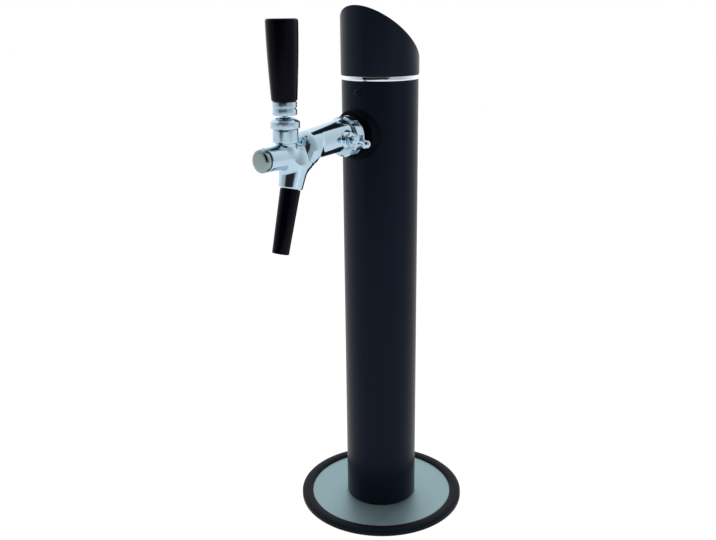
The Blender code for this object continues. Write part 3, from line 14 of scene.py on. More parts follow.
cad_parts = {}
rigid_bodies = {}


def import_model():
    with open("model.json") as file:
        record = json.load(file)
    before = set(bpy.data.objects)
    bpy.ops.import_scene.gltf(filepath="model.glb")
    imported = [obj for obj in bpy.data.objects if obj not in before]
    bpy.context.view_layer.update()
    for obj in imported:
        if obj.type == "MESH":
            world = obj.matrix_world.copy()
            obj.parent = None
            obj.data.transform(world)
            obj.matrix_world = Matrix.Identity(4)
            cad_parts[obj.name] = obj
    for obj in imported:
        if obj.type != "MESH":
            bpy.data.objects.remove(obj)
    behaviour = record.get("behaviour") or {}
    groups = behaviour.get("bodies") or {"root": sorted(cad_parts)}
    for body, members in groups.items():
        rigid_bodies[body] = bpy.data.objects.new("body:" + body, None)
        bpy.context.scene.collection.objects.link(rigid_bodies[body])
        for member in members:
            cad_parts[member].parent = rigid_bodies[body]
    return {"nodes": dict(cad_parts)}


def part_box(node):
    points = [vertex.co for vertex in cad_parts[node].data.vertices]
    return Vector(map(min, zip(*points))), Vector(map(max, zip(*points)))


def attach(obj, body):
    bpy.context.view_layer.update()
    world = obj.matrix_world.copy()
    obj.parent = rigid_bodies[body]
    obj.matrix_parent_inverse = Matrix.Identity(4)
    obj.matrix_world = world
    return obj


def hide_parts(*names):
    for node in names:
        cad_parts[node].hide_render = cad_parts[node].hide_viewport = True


for old in list(bpy.data.objects):
    bpy.data.objects.remove(old, do_unlink=True)
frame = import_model()
scene = bpy.context.scene
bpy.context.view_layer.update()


# Camera: it stands on the tap's right and a little above it, looking down by 17 degrees.
# The lens and the place come from the outlines of the column, the base and the nozzle.
CAMERA_PLACE = Vector((0.528423, -0.659180, 0.525108))
CAMERA_LENS = 42.123
CAMERA_SENSOR = 36.0
CAMERA_BEARING = 0.6757
CAMERA_DOWN = 0.2994
CAMERA_PAN = -0.0282
CAMERA_ROLL = -0.0111

ahead = Vector((-math.sin(CAMERA_BEARING), math.cos(CAMERA_BEARING), 0))
across = Vector((math.cos(CAMERA_BEARING), math.sin(CAMERA_BEARING), 0))
panned_ahead = ahead * math.cos(CAMERA_PAN) + across * math.sin(CAMERA_PAN)
panned_across = across * math.cos(CAMERA_PAN) - ahead * math.sin(CAMERA_PAN)
upright = Vector((0, 0, 1))
look = panned_ahead * math.cos(CAMERA_DOWN) - upright * math.sin(CAMERA_DOWN)
above = upright * math.cos(CAMERA_DOWN) + panned_ahead * math.sin(CAMERA_DOWN)
rolled_across = panned_across * math.cos(CAMERA_ROLL) + above * math.sin(CAMERA_ROLL)
rolled_above = above * math.cos(CAMERA_ROLL) - panned_across * math.sin(CAMERA_ROLL)
camera_data = bpy.data.cameras.new("photo_camera")
camera_data.lens = CAMERA_LENS
camera_data.sensor_width = CAMERA_SENSOR
camera_data.sensor_fit = "HORIZONTAL"
camera = bpy.data.objects.new("photo_camera", camera_data)
camera.matrix_world = Matrix.Translation(CAMERA_PLACE) @ Matrix(
    (rolled_across, rolled_above, -look)
).transposed().to_4x4()
scene.collection.objects.link(camera)
scene.camera = camera


# Rubber tray: one moulding of black nitrile with a rounded rim that grips the steel plate
# and keeps the tower from sliding on a wet counter.
TRAY_SIDES = 192
TRAY_RIM_WIDTH = 0.0121
TRAY_RIM_STEPS = 14
TRAY_FOOT_ROUND = 0.0009
TRAY_FOOT_STEPS = 3
FIT_GAP = 0.0003
RUBBER_TINT = (0.0028, 0.0036, 0.0052)
RUBBER_GLOSS = 0.12
DARK_SHINE = (0.50, 0.68, 1.0)
SPECKLE_DETAIL = 4

tray_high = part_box("base_gasket")[1]
plate_low, plate_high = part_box("base_plate")


def lathe(profile, sides, start=(0, 0, 0), way=(0, 0, 1), ring=False):
    """A turned shape from (radius, height) pairs about an axis; a ring's profile is closed."""
    shape = bmesh.new()
    turn = upright.rotation_difference(Vector(way)).to_matrix().to_4x4()
    stand = Matrix.Translation(start) @ turn
    loops = []
    for radius, height in profile:
        if radius == 0:
            loops.append([shape.verts.new(stand @ Vector((0, 0, height)))])
            continue
        loop = []
        for side in range(sides):
            angle = math.tau * side / sides
            place = Vector((radius * math.cos(angle), radius * math.sin(angle), height))
            loop.append(shape.verts.new(stand @ place))
        loops.append(loop)
    pairs = list(zip(loops, loops[1:]))
    if ring:
        pairs.append((loops[-1], loops[0]))
    for lower, upper in pairs:
        for side in range(sides):
            after = (side + 1) % sides
            corners = [lower[side % len(lower)], lower[after % len(lower)]]
            corners += [upper[after % len(upper)], upper[side % len(upper)]]
            shape.faces.new(list(dict.fromkeys(corners)))
    bmesh.ops.recalc_face_normals(shape, faces=shape.faces)
    return shape


def arc(middle, height, reach, first, last, steps, rise=None):
    """A profile's points on a circle about (middle, height), or on an ellipse with a rise."""
    rise = rise or reach
    angles = [first + (last - first) * step / steps for step in range(steps + 1)]
    return [(middle + reach * math.cos(a), height + rise * math.sin(a)) for a in angles]


def dress(mesh, material):
    """Gives a mesh its only material."""
    mesh.materials.clear()
    mesh.materials.append(material)


def piece(name, shape, material, smooth=40):
    """A finished mesh with its place in its vertices."""
    mesh = bpy.data.meshes.new(name)
    if isinstance(shape, bmesh.types.BMesh):
        shape.to_mesh(mesh)
        shape.free()
    else:
        mesh = shape
        mesh.name = name
    dress(mesh, material)
    mesh.shade_smooth()
    mesh.set_sharp_from_angle(angle=math.radians(smooth))
    made = bpy.data.objects.new(name, mesh)
    scene.collection.objects.link(made)
    return made


def fit(made, body, slot, *nodes):
    """Says what a piece rides on and the CAD nodes that it stands for; the slot argument is not
    used.
    """
    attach(made, body)
    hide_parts(*nodes)


def fill(tree, inputs, given):
    """Gives each named input its value, or links another node's output to it."""
    for label, value in given.items():
        if isinstance(value, bpy.types.NodeSocket):
            tree.links.new(value, inputs[label])
        else:
            inputs[label].default_value = value


def wired(tree, kind, given, **settings):
    """A new node with its settings and its inputs."""
    node = tree.nodes.new(kind)
    for label, value in settings.items():
        setattr(node, label, value)
    fill(tree, node.inputs, given)
    return node


def surface(name, tint, metallic=0.0, gloss=0.5, gloss_tint=(1, 1, 1)):
    """A material with its node tree and its Principled shader."""
    material = bpy.data.materials.new(name)
    material.use_nodes = True
    tree = material.node_tree
    shader = tree.nodes["Principled BSDF"]
    looks = {"Base Color": (*tint, 1), "Metallic": metallic, "Specular IOR Level": gloss}
    fill(tree, shader.inputs, {**looks, "Specular Tint": (*gloss_tint, 1)})
    return material, tree, shader


def shades(tint, spread):
    """A darker and a lighter version of a colour."""
    return (*(c * (1 - spread) for c in tint), 1), (*(c * (1 + spread) for c in tint), 1)


def mottled(tree, pattern, low, high, first, last):
    """A tint and a roughness that follow a pattern."""
    tint = wired(tree, "ShaderNodeMix", {"Factor": pattern, "A": low, "B": high}, data_type="RGBA")
    ends = {"To Min": first, "To Max": last}
    roughness = wired(tree, "ShaderNodeMapRange", {"Value": pattern, **ends})
    return tint.outputs["Result"], roughness.outputs["Result"]


def cover(tree, shader, tint, roughness, height, depth):
    """Gives a shader its tint, its roughness and a bump of real depth."""
    relief = wired(tree, "ShaderNodeBump", {"Distance": depth, "Height": height})
    looks = {"Base Color": tint, "Roughness": roughness, "Normal": relief.outputs["Normal"]}
    fill(tree, shader.inputs, looks)


def node_group(name, kind, given, made):
    """A node group with named inputs and outputs, and the sockets at its two ends."""
    tree = bpy.data.node_groups.new(name, kind)
    for way, sockets in (("INPUT", given), ("OUTPUT", made)):
        for label, value in sockets.items():
            tree.interface.new_socket(label, in_out=way, socket_type="NodeSocket" + value)
    start, end = tree.nodes.new("NodeGroupInput"), tree.nodes.new("NodeGroupOutput")
    return tree, start.outputs, end.inputs


def make_speckle_group():
    """Fine mottling: a tint between two colours, a roughness and a height from one noise."""
    tree, given, out = node_group(
        "speckle",
        "ShaderNodeTree",
        {
            "Scale": "Float",
            "Detail": "Float",
            "Low Colour": "Color",
            "High Colour": "Color",
            "Low Roughness": "Float",
            "High Roughness": "Float",
        },
        {"Colour": "Color", "Roughness": "Float", "Height": "Float"},
    )
    place = tree.nodes.new("ShaderNodeTexCoord").outputs["Object"]
    noise = wired(
        tree,
        "ShaderNodeTexNoise",
        {"Vector": place, "Scale": given["Scale"], "Detail": given["Detail"]},
    ).outputs["Fac"]
    colours = given["Low Colour"], given["High Colour"]
    roughs = given["Low Roughness"], given["High Roughness"]
    tint, roughness = mottled(tree, noise, *colours, *roughs)
    fill(tree, out, {"Colour": tint, "Roughness": roughness, "Height": noise})
    return tree


speckle_group = make_speckle_group()


def speckled(name, tint, spread, scale, roughness, depth, **looks):
    """A material with mottled tint and roughness, and a bump of real depth."""
    material, tree, shader = surface(name, tint, **looks)
    low, high = shades(tint, spread)
    speckle = wired(
        tree,
        "ShaderNodeGroup",
        {
            "Scale": scale,
            "Detail": SPECKLE_DETAIL,
            "Low Colour": low,
            "High Colour": high,
            "Low Roughness": roughness[0],
            "High Roughness": roughness[1],
        },
        node_tree=speckle_group,
    ).outputs
    cover(tree, shader, speckle["Colour"], speckle["Roughness"], speckle["Height"], depth)
    return material


rubber = speckled(
    "tray_rubber", RUBBER_TINT,
    spread=0.35, scale=900, roughness=(0.42, 0.58), depth=0.00003,
    gloss=RUBBER_GLOSS, gloss_tint=DARK_SHINE,
)

tray_radius = tray_high.x
half_rim = TRAY_RIM_WIDTH / 2
rim_middle = tray_radius - half_rim
rim_floor = plate_high.z + FIT_GAP
rim_rise = tray_high.z - rim_floor
plate_edge = plate_high.x + FIT_GAP
foot_round = TRAY_FOOT_ROUND
foot_middle = tray_radius - foot_round
tray_profile = [
    (0, plate_low.z - FIT_GAP),
    (plate_edge, plate_low.z - FIT_GAP),
    (plate_edge, rim_floor),
    *arc(rim_middle, rim_floor, half_rim, math.pi, 0, TRAY_RIM_STEPS, rim_rise),
    *arc(foot_middle, foot_round, foot_round, 0, -math.pi / 2, TRAY_FOOT_STEPS),
    (0, 0),
]
tray = piece("rubber_tray", lathe(tray_profile, TRAY_SIDES), rubber)
fit(tray, "tower", "rubber", "base_gasket")


# Base plate: a disc of brushed stainless steel. Its grain runs one way across the disc,
# from the belt that finished the sheet it was cut from.
STEEL_TINT = (0.285, 0.410, 0.440)
STEEL_METALLIC = 0.88
STEEL_SPREAD = 0.10
BRUSH_BEARING = math.radians(38)
BRUSH_SCALE = 240
BRUSH_STRETCH = 0.02
BRUSH_DETAIL = 8
BRUSH_FINENESS = 0.65
BRUSH_DEPTH = 0.00002
BRUSH_SHEEN = (0.42, 0.58)

steel, tree, shader = surface("brushed_steel_plate", STEEL_TINT, metallic=STEEL_METALLIC)
place = tree.nodes.new("ShaderNodeTexCoord").outputs["Object"]
turned = wired(
    tree,
    "ShaderNodeMapping",
    {"Vector": place, "Rotation": (0, 0, BRUSH_BEARING), "Scale": (1, BRUSH_STRETCH, 1)},
)
grain = wired(
    tree,
    "ShaderNodeTexNoise",
    {
        "Vector": turned.outputs["Vector"],
        "Scale": BRUSH_SCALE,
        "Detail": BRUSH_DETAIL,
        "Roughness": BRUSH_FINENESS,
    },
).outputs["Fac"]
tint, roughness = mottled(tree, grain, *shades(STEEL_TINT, STEEL_SPREAD), *BRUSH_SHEEN)
cover(tree, shader, tint, roughness, grain, BRUSH_DEPTH)
dress(frame["nodes"]["base_plate"].data, steel)


# Base screws: three countersunk screws in stainless steel, with hexagon sockets. They hold
# the plate to the flange in the column's foot, from below, and each stops at its own turn.
BASE_SCREWS = 3
BASE_SCREW_CIRCLE = 0.0310
BASE_SCREW_RADIUS = 0.0025
BASE_SCREW_LENGTH = 0.0098
BASE_SCREW_HEAD_RADIUS = 0.0046
BASE_SCREW_HEAD_HEIGHT = 0.0019
BASE_SCREW_SOCKET_RADIUS = 0.0018
BASE_SCREW_SOCKET_DEPTH = 0.0011
BASE_SCREW_EDGE = 0.0002
BASE_SCREW_SIDES = 48
BASE_SCREW_SEED = 7
HEXAGON = 6
LONGEST_LEG = 0.49


def eased(corners, steps=5, closed=False):
    """Rounds a profile's corners: each is (radius, height, rounding), with 0 left sharp."""
    points = []
    count = len(corners)
    for number, (radius, height, rounding) in enumerate(corners):
        here = Vector((radius, height))
        at_end = not closed and number in (0, count - 1)
        if rounding == 0 or at_end:
            points.append((radius, height))
            continue
        before = Vector(corners[number - 1][:2]) - here
        after = Vector(corners[(number + 1) % count][:2]) - here
        opening = before.angle(after)
        leg = rounding / math.tan(opening / 2)
        leg = min(leg, before.length * LONGEST_LEG, after.length * LONGEST_LEG)
        reach = leg * math.tan(opening / 2)
        before.normalize()
        after.normalize()
        middle = here + (before + after).normalized() * (reach / math.sin(opening / 2))
        first = here + before * leg - middle
        last = here + after * leg - middle
        sweep = math.atan2(first.x * last.y - first.y * last.x, first.dot(last))
        for step in range(steps + 1):
            angle = sweep * step / steps
            cosine, sine = math.cos(angle), math.sin(angle)
            turned = Vector((first.x * cosine - first.y * sine, first.x * sine + first.y * cosine))
            points.append(tuple(middle + turned))
    return points


def rod(radius, first, last):
    """The profile of a plain bar between two heights."""
    return [(0, first), (radius, first), (radius, last), (0, last)]


def carrier(content):
    """An object that holds a shape while a modifier works on it."""
    mesh = content
    if isinstance(content, bmesh.types.BMesh):
        mesh = bpy.data.meshes.new("carrier")
        content.to_mesh(mesh)
        content.free()
    made = bpy.data.objects.new("carrier", mesh)
    scene.collection.objects.link(made)
    return made


def finished(target, *tools):
    """The plain mesh that an object's modifiers give; the object and its tools are removed."""
    graph = bpy.context.evaluated_depsgraph_get()
    mesh = bpy.data.meshes.new_from_object(target.evaluated_get(graph))
    for spent in (target, *tools):
        bpy.data.objects.remove(spent, do_unlink=True)
    return mesh


def carved(shape, *cutters):
    """A shape with its cutters taken away, as a new mesh."""
    target = carrier(shape)
    tools = [carrier(cutter) for cutter in cutters]
    for tool in tools:
        step = target.modifiers.new("cut", "BOOLEAN")
        step.operation = "DIFFERENCE"
        step.solver = "EXACT"
        step.object = tool
    return finished(target, *tools)


def sums(tree, operation, *values):
    """The output of a node that works out a sum."""
    inputs = dict(enumerate(values))
    return wired(tree, "ShaderNodeMath", inputs, operation=operation).outputs[0]


def make_circle_tree():
    """Copies of one item on a level circle, turned outwards and by a random own turn."""
    tree, given, out = node_group(
        "set_on_circle",
        "GeometryNodeTree",
        {
            "Item": "Geometry",
            "Count": "Int",
            "Radius": "Float",
            "First Bearing": "Float",
            "Own Turn": "Float",
            "Seed": "Int",
            "Finish": "Material",
        },
        {"Set": "Geometry"},
    )
    number = tree.nodes.new("GeometryNodeInputIndex").outputs[0]
    share = sums(tree, "DIVIDE", sums(tree, "MULTIPLY", number, math.tau), given["Count"])
    bearing = sums(tree, "ADD", share, given["First Bearing"])
    sideways = sums(tree, "MULTIPLY", sums(tree, "SINE", bearing), given["Radius"])
    outwards = sums(tree, "MULTIPLY", sums(tree, "COSINE", bearing), -1)
    outwards = sums(tree, "MULTIPLY", outwards, given["Radius"])
    place = wired(tree, "ShaderNodeCombineXYZ", {"X": sideways, "Y": outwards})
    points = wired(tree, "GeometryNodeMeshLine", {"Count": given["Count"], "Offset": (0, 0, 0)})
    placed = wired(
        tree,
        "GeometryNodeSetPosition",
        {"Geometry": points.outputs["Mesh"], "Position": place.outputs[0]},
    )
    chance = wired(
        tree,
        "FunctionNodeRandomValue",
        {"Max": given["Own Turn"], "Seed": given["Seed"]},
        data_type="FLOAT",
    )
    turn = sums(tree, "ADD", bearing, chance.outputs["Value"])
    rotation = wired(tree, "ShaderNodeCombineXYZ", {"Z": turn}).outputs[0]
    copies = wired(
        tree,
        "GeometryNodeInstanceOnPoints",
        {"Points": placed.outputs[0], "Instance": given["Item"], "Rotation": rotation},
    )
    whole = wired(tree, "GeometryNodeRealizeInstances", {"Geometry": copies.outputs["Instances"]})
    dressed = wired(
        tree,
        "GeometryNodeSetMaterial",
        {"Geometry": whole.outputs["Geometry"], "Material": given["Finish"]},
    )
    fill(tree, out, {"Set": dressed.outputs["Geometry"]})
    return tree


circle_tree = make_circle_tree()


def set_on_circle(item, finish, count, radius, bearing=0.0, own_turn=0.0, seed=0):
    """A plain mesh of an item's copies round the standing line through the origin."""
    target = carrier(item)
    step = target.modifiers.new("set", "NODES")
    step.node_group = circle_tree
    values = {"Count": count, "Radius": radius, "First Bearing": bearing}
    values |= {"Own Turn": own_turn, "Seed": seed, "Finish": finish}
    for label, value in values.items():
        step[circle_tree.interface.items_tree[label].identifier] = value
    return finished(target)


screw_foot = plate_low.z
screw_neck = screw_foot + BASE_SCREW_HEAD_HEIGHT
screw_tip = screw_foot + BASE_SCREW_LENGTH
screw_profile = eased(
    [
        (0, screw_foot, 0),
        (BASE_SCREW_HEAD_RADIUS, screw_foot, BASE_SCREW_EDGE),
        (BASE_SCREW_RADIUS, screw_neck, 0),
        (BASE_SCREW_RADIUS, screw_tip, BASE_SCREW_EDGE),
        (0, screw_tip, 0),
    ]
)
socket_low = screw_foot - BASE_SCREW_SOCKET_DEPTH
socket_high = screw_foot + BASE_SCREW_SOCKET_DEPTH
screw_socket = lathe(rod(BASE_SCREW_SOCKET_RADIUS, socket_low, socket_high), HEXAGON)
screw_mesh = set_on_circle(
    carved(lathe(screw_profile, BASE_SCREW_SIDES), screw_socket),
    steel,
    BASE_SCREWS,
    BASE_SCREW_CIRCLE,
    own_turn=math.tau,
    seed=BASE_SCREW_SEED,
)
base_screws = piece("base_screws_countersunk", screw_mesh, steel, smooth=30)
fit(base_screws, "tower", "brushed_steel", "base_screw_1", "base_screw_2", "base_screw_3")


# Column: seamless steel tube with a satin black powder coat, rounded at both cut ends.
# The shank and the cap's screw go through holes in its front.
COLUMN_SIDES = 256
COLUMN_EDGE = 0.0005
COLUMN_WALL = 0.0020
COATED_HOLE_RADIUS = 0.0103
COATED_HOLE_SIDES = 48
SCREW_HOLE_RADIUS = 0.0023
SCREW_HOLE_SIDES = 24
SCREW_BEARING = math.radians(5)
SCREW_BELOW_TOP = 0.0102
COAT_TINT = (0.0040, 0.0056, 0.0108)
COAT_GLOSS = 0.10

coat = speckled(
    "satin_black_coat", COAT_TINT,
    spread=0.25, scale=1400, roughness=(0.27, 0.36), depth=0.000012,
    gloss=COAT_GLOSS, gloss_tint=DARK_SHINE,
)

tube_low, tube_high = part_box("column_tube")
shank_low, shank_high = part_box("shank")
column_radius = tube_high.x
column_bore = column_radius - COLUMN_WALL
tap_height = (shank_low.z + shank_high.z) / 2
tap_axis = Vector((0, 0, tap_height))
tap_out = Vector((0, -1, 0))
screw_axis = Vector((0, 0, tube_high.z - SCREW_BELOW_TOP))
screw_out = Vector((math.sin(SCREW_BEARING), -math.cos(SCREW_BEARING), 0))
inside = column_radius - 3 * COLUMN_WALL
outside = column_radius + COLUMN_WALL


def sleeve(radius, bore, low, high, edge):
    """The profile of a plain ring with its outer edges rounded."""
    corners = [(radius, low, edge), (radius, high, edge), (bore, high, 0), (bore, low, 0)]
    return eased(corners, closed=True)


tube_profile = sleeve(column_radius, column_bore, tube_low.z, tube_high.z, COLUMN_EDGE)
shank_hole = rod(COATED_HOLE_RADIUS, inside, outside)
screw_hole = rod(SCREW_HOLE_RADIUS, inside, outside)
tube_mesh = carved(
    lathe(tube_profile, COLUMN_SIDES, ring=True),
    lathe(shank_hole, COATED_HOLE_SIDES, tap_axis, tap_out),
    lathe(screw_hole, SCREW_HOLE_SIDES, screw_axis, screw_out),
)
column = piece("column_coated", tube_mesh, coat)
fit(column, "tower", "black_coating", "column_tube")


# Trim ring: a spun band of polished steel, held between the tube and the cap by the cap's
# spigot. Its edges are rounded.
RING_EDGE = 0.0005
POLISH_TINT = (0.80, 0.88, 0.93)

polish = speckled(
    "polished_steel_band", POLISH_TINT,
    spread=0.02, scale=300, roughness=(0.04, 0.08), depth=0.000001, metallic=1.0,
)

ring_low, ring_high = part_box("trim_ring")
ring_profile = sleeve(ring_high.x, column_bore, ring_low.z, ring_high.z, RING_EDGE)
ring = piece("trim_ring_polished", lathe(ring_profile, COLUMN_SIDES, ring=True), polish)
fit(ring, "tower", "chrome", "trim_ring")


# Cap: one injection-moulded shell in black plastic with a slanted lid and an eased rim.
# Its spigot goes into the tube, where a screw holds it.
CAP_EDGE = 0.0014
CAP_EDGE_STEPS = 6
ROUND_PROFILE = 0.5
CAP_FOOT_EDGE = 0.0006
CAP_SLOPE = math.radians(38.6)
CAP_WALL = 0.0024
CAP_SHOULDER = 0.0030
CAP_FRONT_TRIM = 0.0654
CAP_OVERRUN = 0.01
CAP_HOLLOW_SIDES = 96
SPIGOT_EDGE = 0.0008
CAP_TINT = (0.0056, 0.0080, 0.0130)
CAP_GLOSS = 0.12

moulding = speckled(
    "moulded_black_plastic", CAP_TINT,
    spread=0.2, scale=700, roughness=(0.28, 0.36), depth=0.000015,
    gloss=CAP_GLOSS, gloss_tint=DARK_SHINE,
)

cap_low, cap_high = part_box("top_cap")
cap_radius = cap_high.x
cap_foot = ring_high.z + FIT_GAP
spigot_radius = column_bore - FIT_GAP
cap_over = cap_high.z + CAP_OVERRUN
cap_under = cap_low.z - CAP_OVERRUN
lid_normal = Vector((0, math.sin(CAP_SLOPE), math.cos(CAP_SLOPE)))
lid_point = Vector((0, -cap_radius, cap_foot + CAP_FRONT_TRIM))


def slanted(shape, drop):
    """Cuts a standing shape along the lid's plane, lowered square to it, and closes it."""
    everything = shape.verts[:] + shape.edges[:] + shape.faces[:]
    sliced = bmesh.ops.bisect_plane(
        shape,
        geom=everything,
        plane_co=lid_point - lid_normal * drop,
        plane_no=lid_normal,
        clear_outer=True,
    )
    rim = [item for item in sliced["geom_cut"] if isinstance(item, bmesh.types.BMEdge)]
    bmesh.ops.edgeloop_fill(shape, edges=rim)
    bmesh.ops.recalc_face_normals(shape, faces=shape.faces)
    return rim


cap_profile = eased(
    [
        (0, cap_low.z, 0),
        (spigot_radius, cap_low.z, SPIGOT_EDGE),
        (spigot_radius, cap_foot, 0),
        (cap_radius, cap_foot, CAP_FOOT_EDGE),
        (cap_radius, cap_over, 0),
        (0, cap_over, 0),
    ]
)
cap_shell = lathe(cap_profile, COLUMN_SIDES)
cap_rim = slanted(cap_shell, 0)
bmesh.ops.bevel(
    cap_shell,
    geom=cap_rim,
    offset=CAP_EDGE,
    segments=CAP_EDGE_STEPS,
    profile=ROUND_PROFILE,
    affect="EDGES",
)
spigot_bore = spigot_radius - CAP_WALL
shell_bore = cap_radius - CAP_WALL
shoulder = cap_foot + CAP_SHOULDER
hollow_profile = [
    (0, cap_under),
    (spigot_bore, cap_under),
    (spigot_bore, shoulder),
    (shell_bore, shoulder + CAP_WALL),
    (shell_bore, cap_over),
    (0, cap_over),
]
cap_hollow = lathe(hollow_profile, CAP_HOLLOW_SIDES)
slanted(cap_hollow, CAP_WALL)
cap = piece("cap_moulded", carved(cap_shell, cap_hollow), moulding, smooth=30)
fit(cap, "tower", "cap_plastic", "top_cap")


# Cap screw: a black button-head screw on the tap's side, through the tube into the cap's
# boss, with a hexagon socket.
HEAD_RISE = 0.0018
HEAD_RADIUS = 0.0036
HEAD_FLAT = math.radians(72)
HEAD_STEPS = 8
HEAD_SIDES = 64
SOCKET_RADIUS = 0.0014
SOCKET_DEPTH = 0.0010
SCREW_LENGTH = 0.0080
SCREW_STEM_RADIUS = 0.0020
OXIDE_TINT = (0.0070, 0.0080, 0.0110)

oxide = speckled(
    "black_oxide_steel", OXIDE_TINT,
    spread=0.3, scale=1200, roughness=(0.3, 0.45), depth=0.000008,
    metallic=0.4, gloss=COAT_GLOSS, gloss_tint=DARK_SHINE,
)

under_head = column_radius + FIT_GAP
head_dome = arc(0, under_head, HEAD_RADIUS, 0, HEAD_FLAT, HEAD_STEPS, HEAD_RISE)
head_profile = [
    (0, under_head - SCREW_LENGTH),
    (SCREW_STEM_RADIUS, under_head - SCREW_LENGTH),
    (SCREW_STEM_RADIUS, under_head),
    *head_dome,
    (0, head_dome[-1][1]),
]
socket_floor = under_head + HEAD_RISE - SOCKET_DEPTH
socket = rod(SOCKET_RADIUS, socket_floor, under_head + 2 * HEAD_RISE)
screw_mesh = carved(
    lathe(head_profile, HEAD_SIDES, screw_axis, screw_out),
    lathe(socket, HEXAGON, screw_axis, screw_out),
)
cap_screw = piece("cap_screw_button_head", screw_mesh, oxide, smooth=30)
fit(cap_screw, "tower", "black_coating", "cap_screw")


# Saddle: a black rubber collar between the flat shank collar and the round tube. Its back
# is hollowed to the tube, and its front edge is eased.
SADDLE_EDGE = 0.0022
SADDLE_EDGE_STEPS = 8
SADDLE_SIDES = 128
SADDLE_HOLE_SIDES = 64
# Its tint is black rubber darkened past the tray's rubber: painted shade for the shade the saddle
# sits in.
SADDLE_TINT_AND_SHADE = (0.0012, 0.0018, 0.0028)
SADDLE_GLOSS = 0.05

# The saddle's rubber, with painted shade in its tint.
saddle_black_and_shade = speckled(
    "saddle_rubber", SADDLE_TINT_AND_SHADE,
    spread=0.3, scale=900, roughness=(0.45, 0.6), depth=0.00002,
    gloss=SADDLE_GLOSS, gloss_tint=DARK_SHINE,
)

saddle_low, saddle_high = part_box("tap_escutcheon")
saddle_radius = saddle_high.x
saddle_size = 2 * saddle_radius
saddle_face = -saddle_low.y
saddle_back = column_radius - saddle_radius / 2
saddle_profile = eased(
    [
        (0, saddle_back, 0),
        (saddle_radius, saddle_back, 0),
        (saddle_radius, saddle_face, SADDLE_EDGE),
        (0, saddle_face, 0),
    ],
    steps=SADDLE_EDGE_STEPS,
)
tube_space = rod(column_radius + FIT_GAP, tap_height - saddle_size, tap_height + saddle_size)
saddle_hole = rod(COATED_HOLE_RADIUS, 0, 2 * saddle_face)
saddle_mesh = carved(
    lathe(saddle_profile, SADDLE_SIDES, tap_axis, tap_out),
    lathe(tube_space, COLUMN_SIDES),
    lathe(saddle_hole, SADDLE_HOLE_SIDES, tap_axis, tap_out),
)
saddle = piece("saddle_rubber", saddle_mesh, saddle_black_and_shade, smooth=30)
fit(saddle, "tower", "rubber", "tap_escutcheon")


# Shank: turned and chromed brass, bored for the beer. Its collar presses the saddle on the
# tube, and the ring nut screws onto its head.
COLLAR_RADIUS = 0.0155
COLLAR_LENGTH = 0.0032
SHANK_RADIUS = 0.0100
SHANK_BORE = 0.0045
SHANK_EDGE = 0.0005
SHANK_SIDES = 72
SHANK_HEAD_RADIUS = 0.0137
THREAD_PITCH = 0.0015
THREAD_DEPTH = 0.0005
CHROME_TINT = (0.47, 0.62, 0.73)

soft_chrome = speckled(
    "soft_chrome_plate", CHROME_TINT,
    spread=0.05, scale=320, roughness=(0.15, 0.24), depth=0.000003, metallic=1.0,
)

collar_reach = saddle_face + FIT_GAP
head_reach = collar_reach + COLLAR_LENGTH
shank_end = -shank_low.y
shank_inner = -shank_high.y
thread_root = SHANK_RADIUS - THREAD_DEPTH
shank_profile = [(SHANK_BORE, shank_inner)]
for number in range(int((collar_reach - shank_inner) / THREAD_PITCH)):
    root = shank_inner + THREAD_PITCH * number
    shank_profile += [(thread_root, root), (SHANK_RADIUS, root + THREAD_PITCH / 2)]
shank_profile.append((thread_root, collar_reach))
shank_profile += eased(
    [
        (SHANK_RADIUS, collar_reach, 0),
        (COLLAR_RADIUS, collar_reach, SHANK_EDGE),
        (COLLAR_RADIUS, head_reach, SHANK_EDGE),
        (SHANK_HEAD_RADIUS, head_reach, 0),
        (SHANK_HEAD_RADIUS, shank_end, SHANK_EDGE),
        (SHANK_BORE, shank_end, 0),
    ]
)
shank_shape = lathe(shank_profile, SHANK_SIDES, tap_axis, tap_out, ring=True)
shank = piece("shank_turned", shank_shape, soft_chrome, smooth=30)
fit(shank, "tower", "chrome", "shank")


# Ring nut: chromed brass with slots for a hook spanner. It pulls the tap's flanged tail
# onto the shank with a washer between them.
NUT_EDGE = 0.00221
NUT_SLOTS = 8
NUT_BORE_SLACK = 0.0010
NUT_VOXEL = 0.00030
SLOT_WIDTH = 0.0050
SLOT_DEPTH = 0.0022
SLOT_LENGTH = 0.0085
SLOT_EDGE = 0.0006
SKIN_PASSES = 8
SKIN_MERGE = 0.01
SKIN_NUDGE = 0.02
STEEPEST_STEP = 0.2
NO_LENGTH = 1e-12

nut_low, nut_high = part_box("union_nut")
nut_radius = nut_high.x
nut_front = -nut_low.y
nut_rear = -nut_high.y


def joined_softly(first, second, blend):
    """The nearer of two distances, with a fillet where they meet."""
    near = np.maximum(blend - np.abs(first - second), 0) / blend
    return np.minimum(first, second) - near * near * blend / 4


def cut_softly(first, second, blend):
    """What two shapes share, with an eased edge where they meet."""
    return -joined_softly(-first, -second, blend)


def from_axis(points, start, way):
    """How far points lie along an axis, and how far aside from it."""
    offset = points - np.array(start)
    along = offset @ np.array(way)
    return along, np.linalg.norm(offset - along[:, None] * np.array(way), axis=1)


def bar(points, start, way, radius, first, last, easing):
    """Distance from a round bar; its radius is a number or follows the place along it."""
    along, aside = from_axis(points, start, way)
    side = aside - (radius(along) if callable(radius) else radius)
    return cut_softly(side, np.maximum(first - along, along - last), easing)


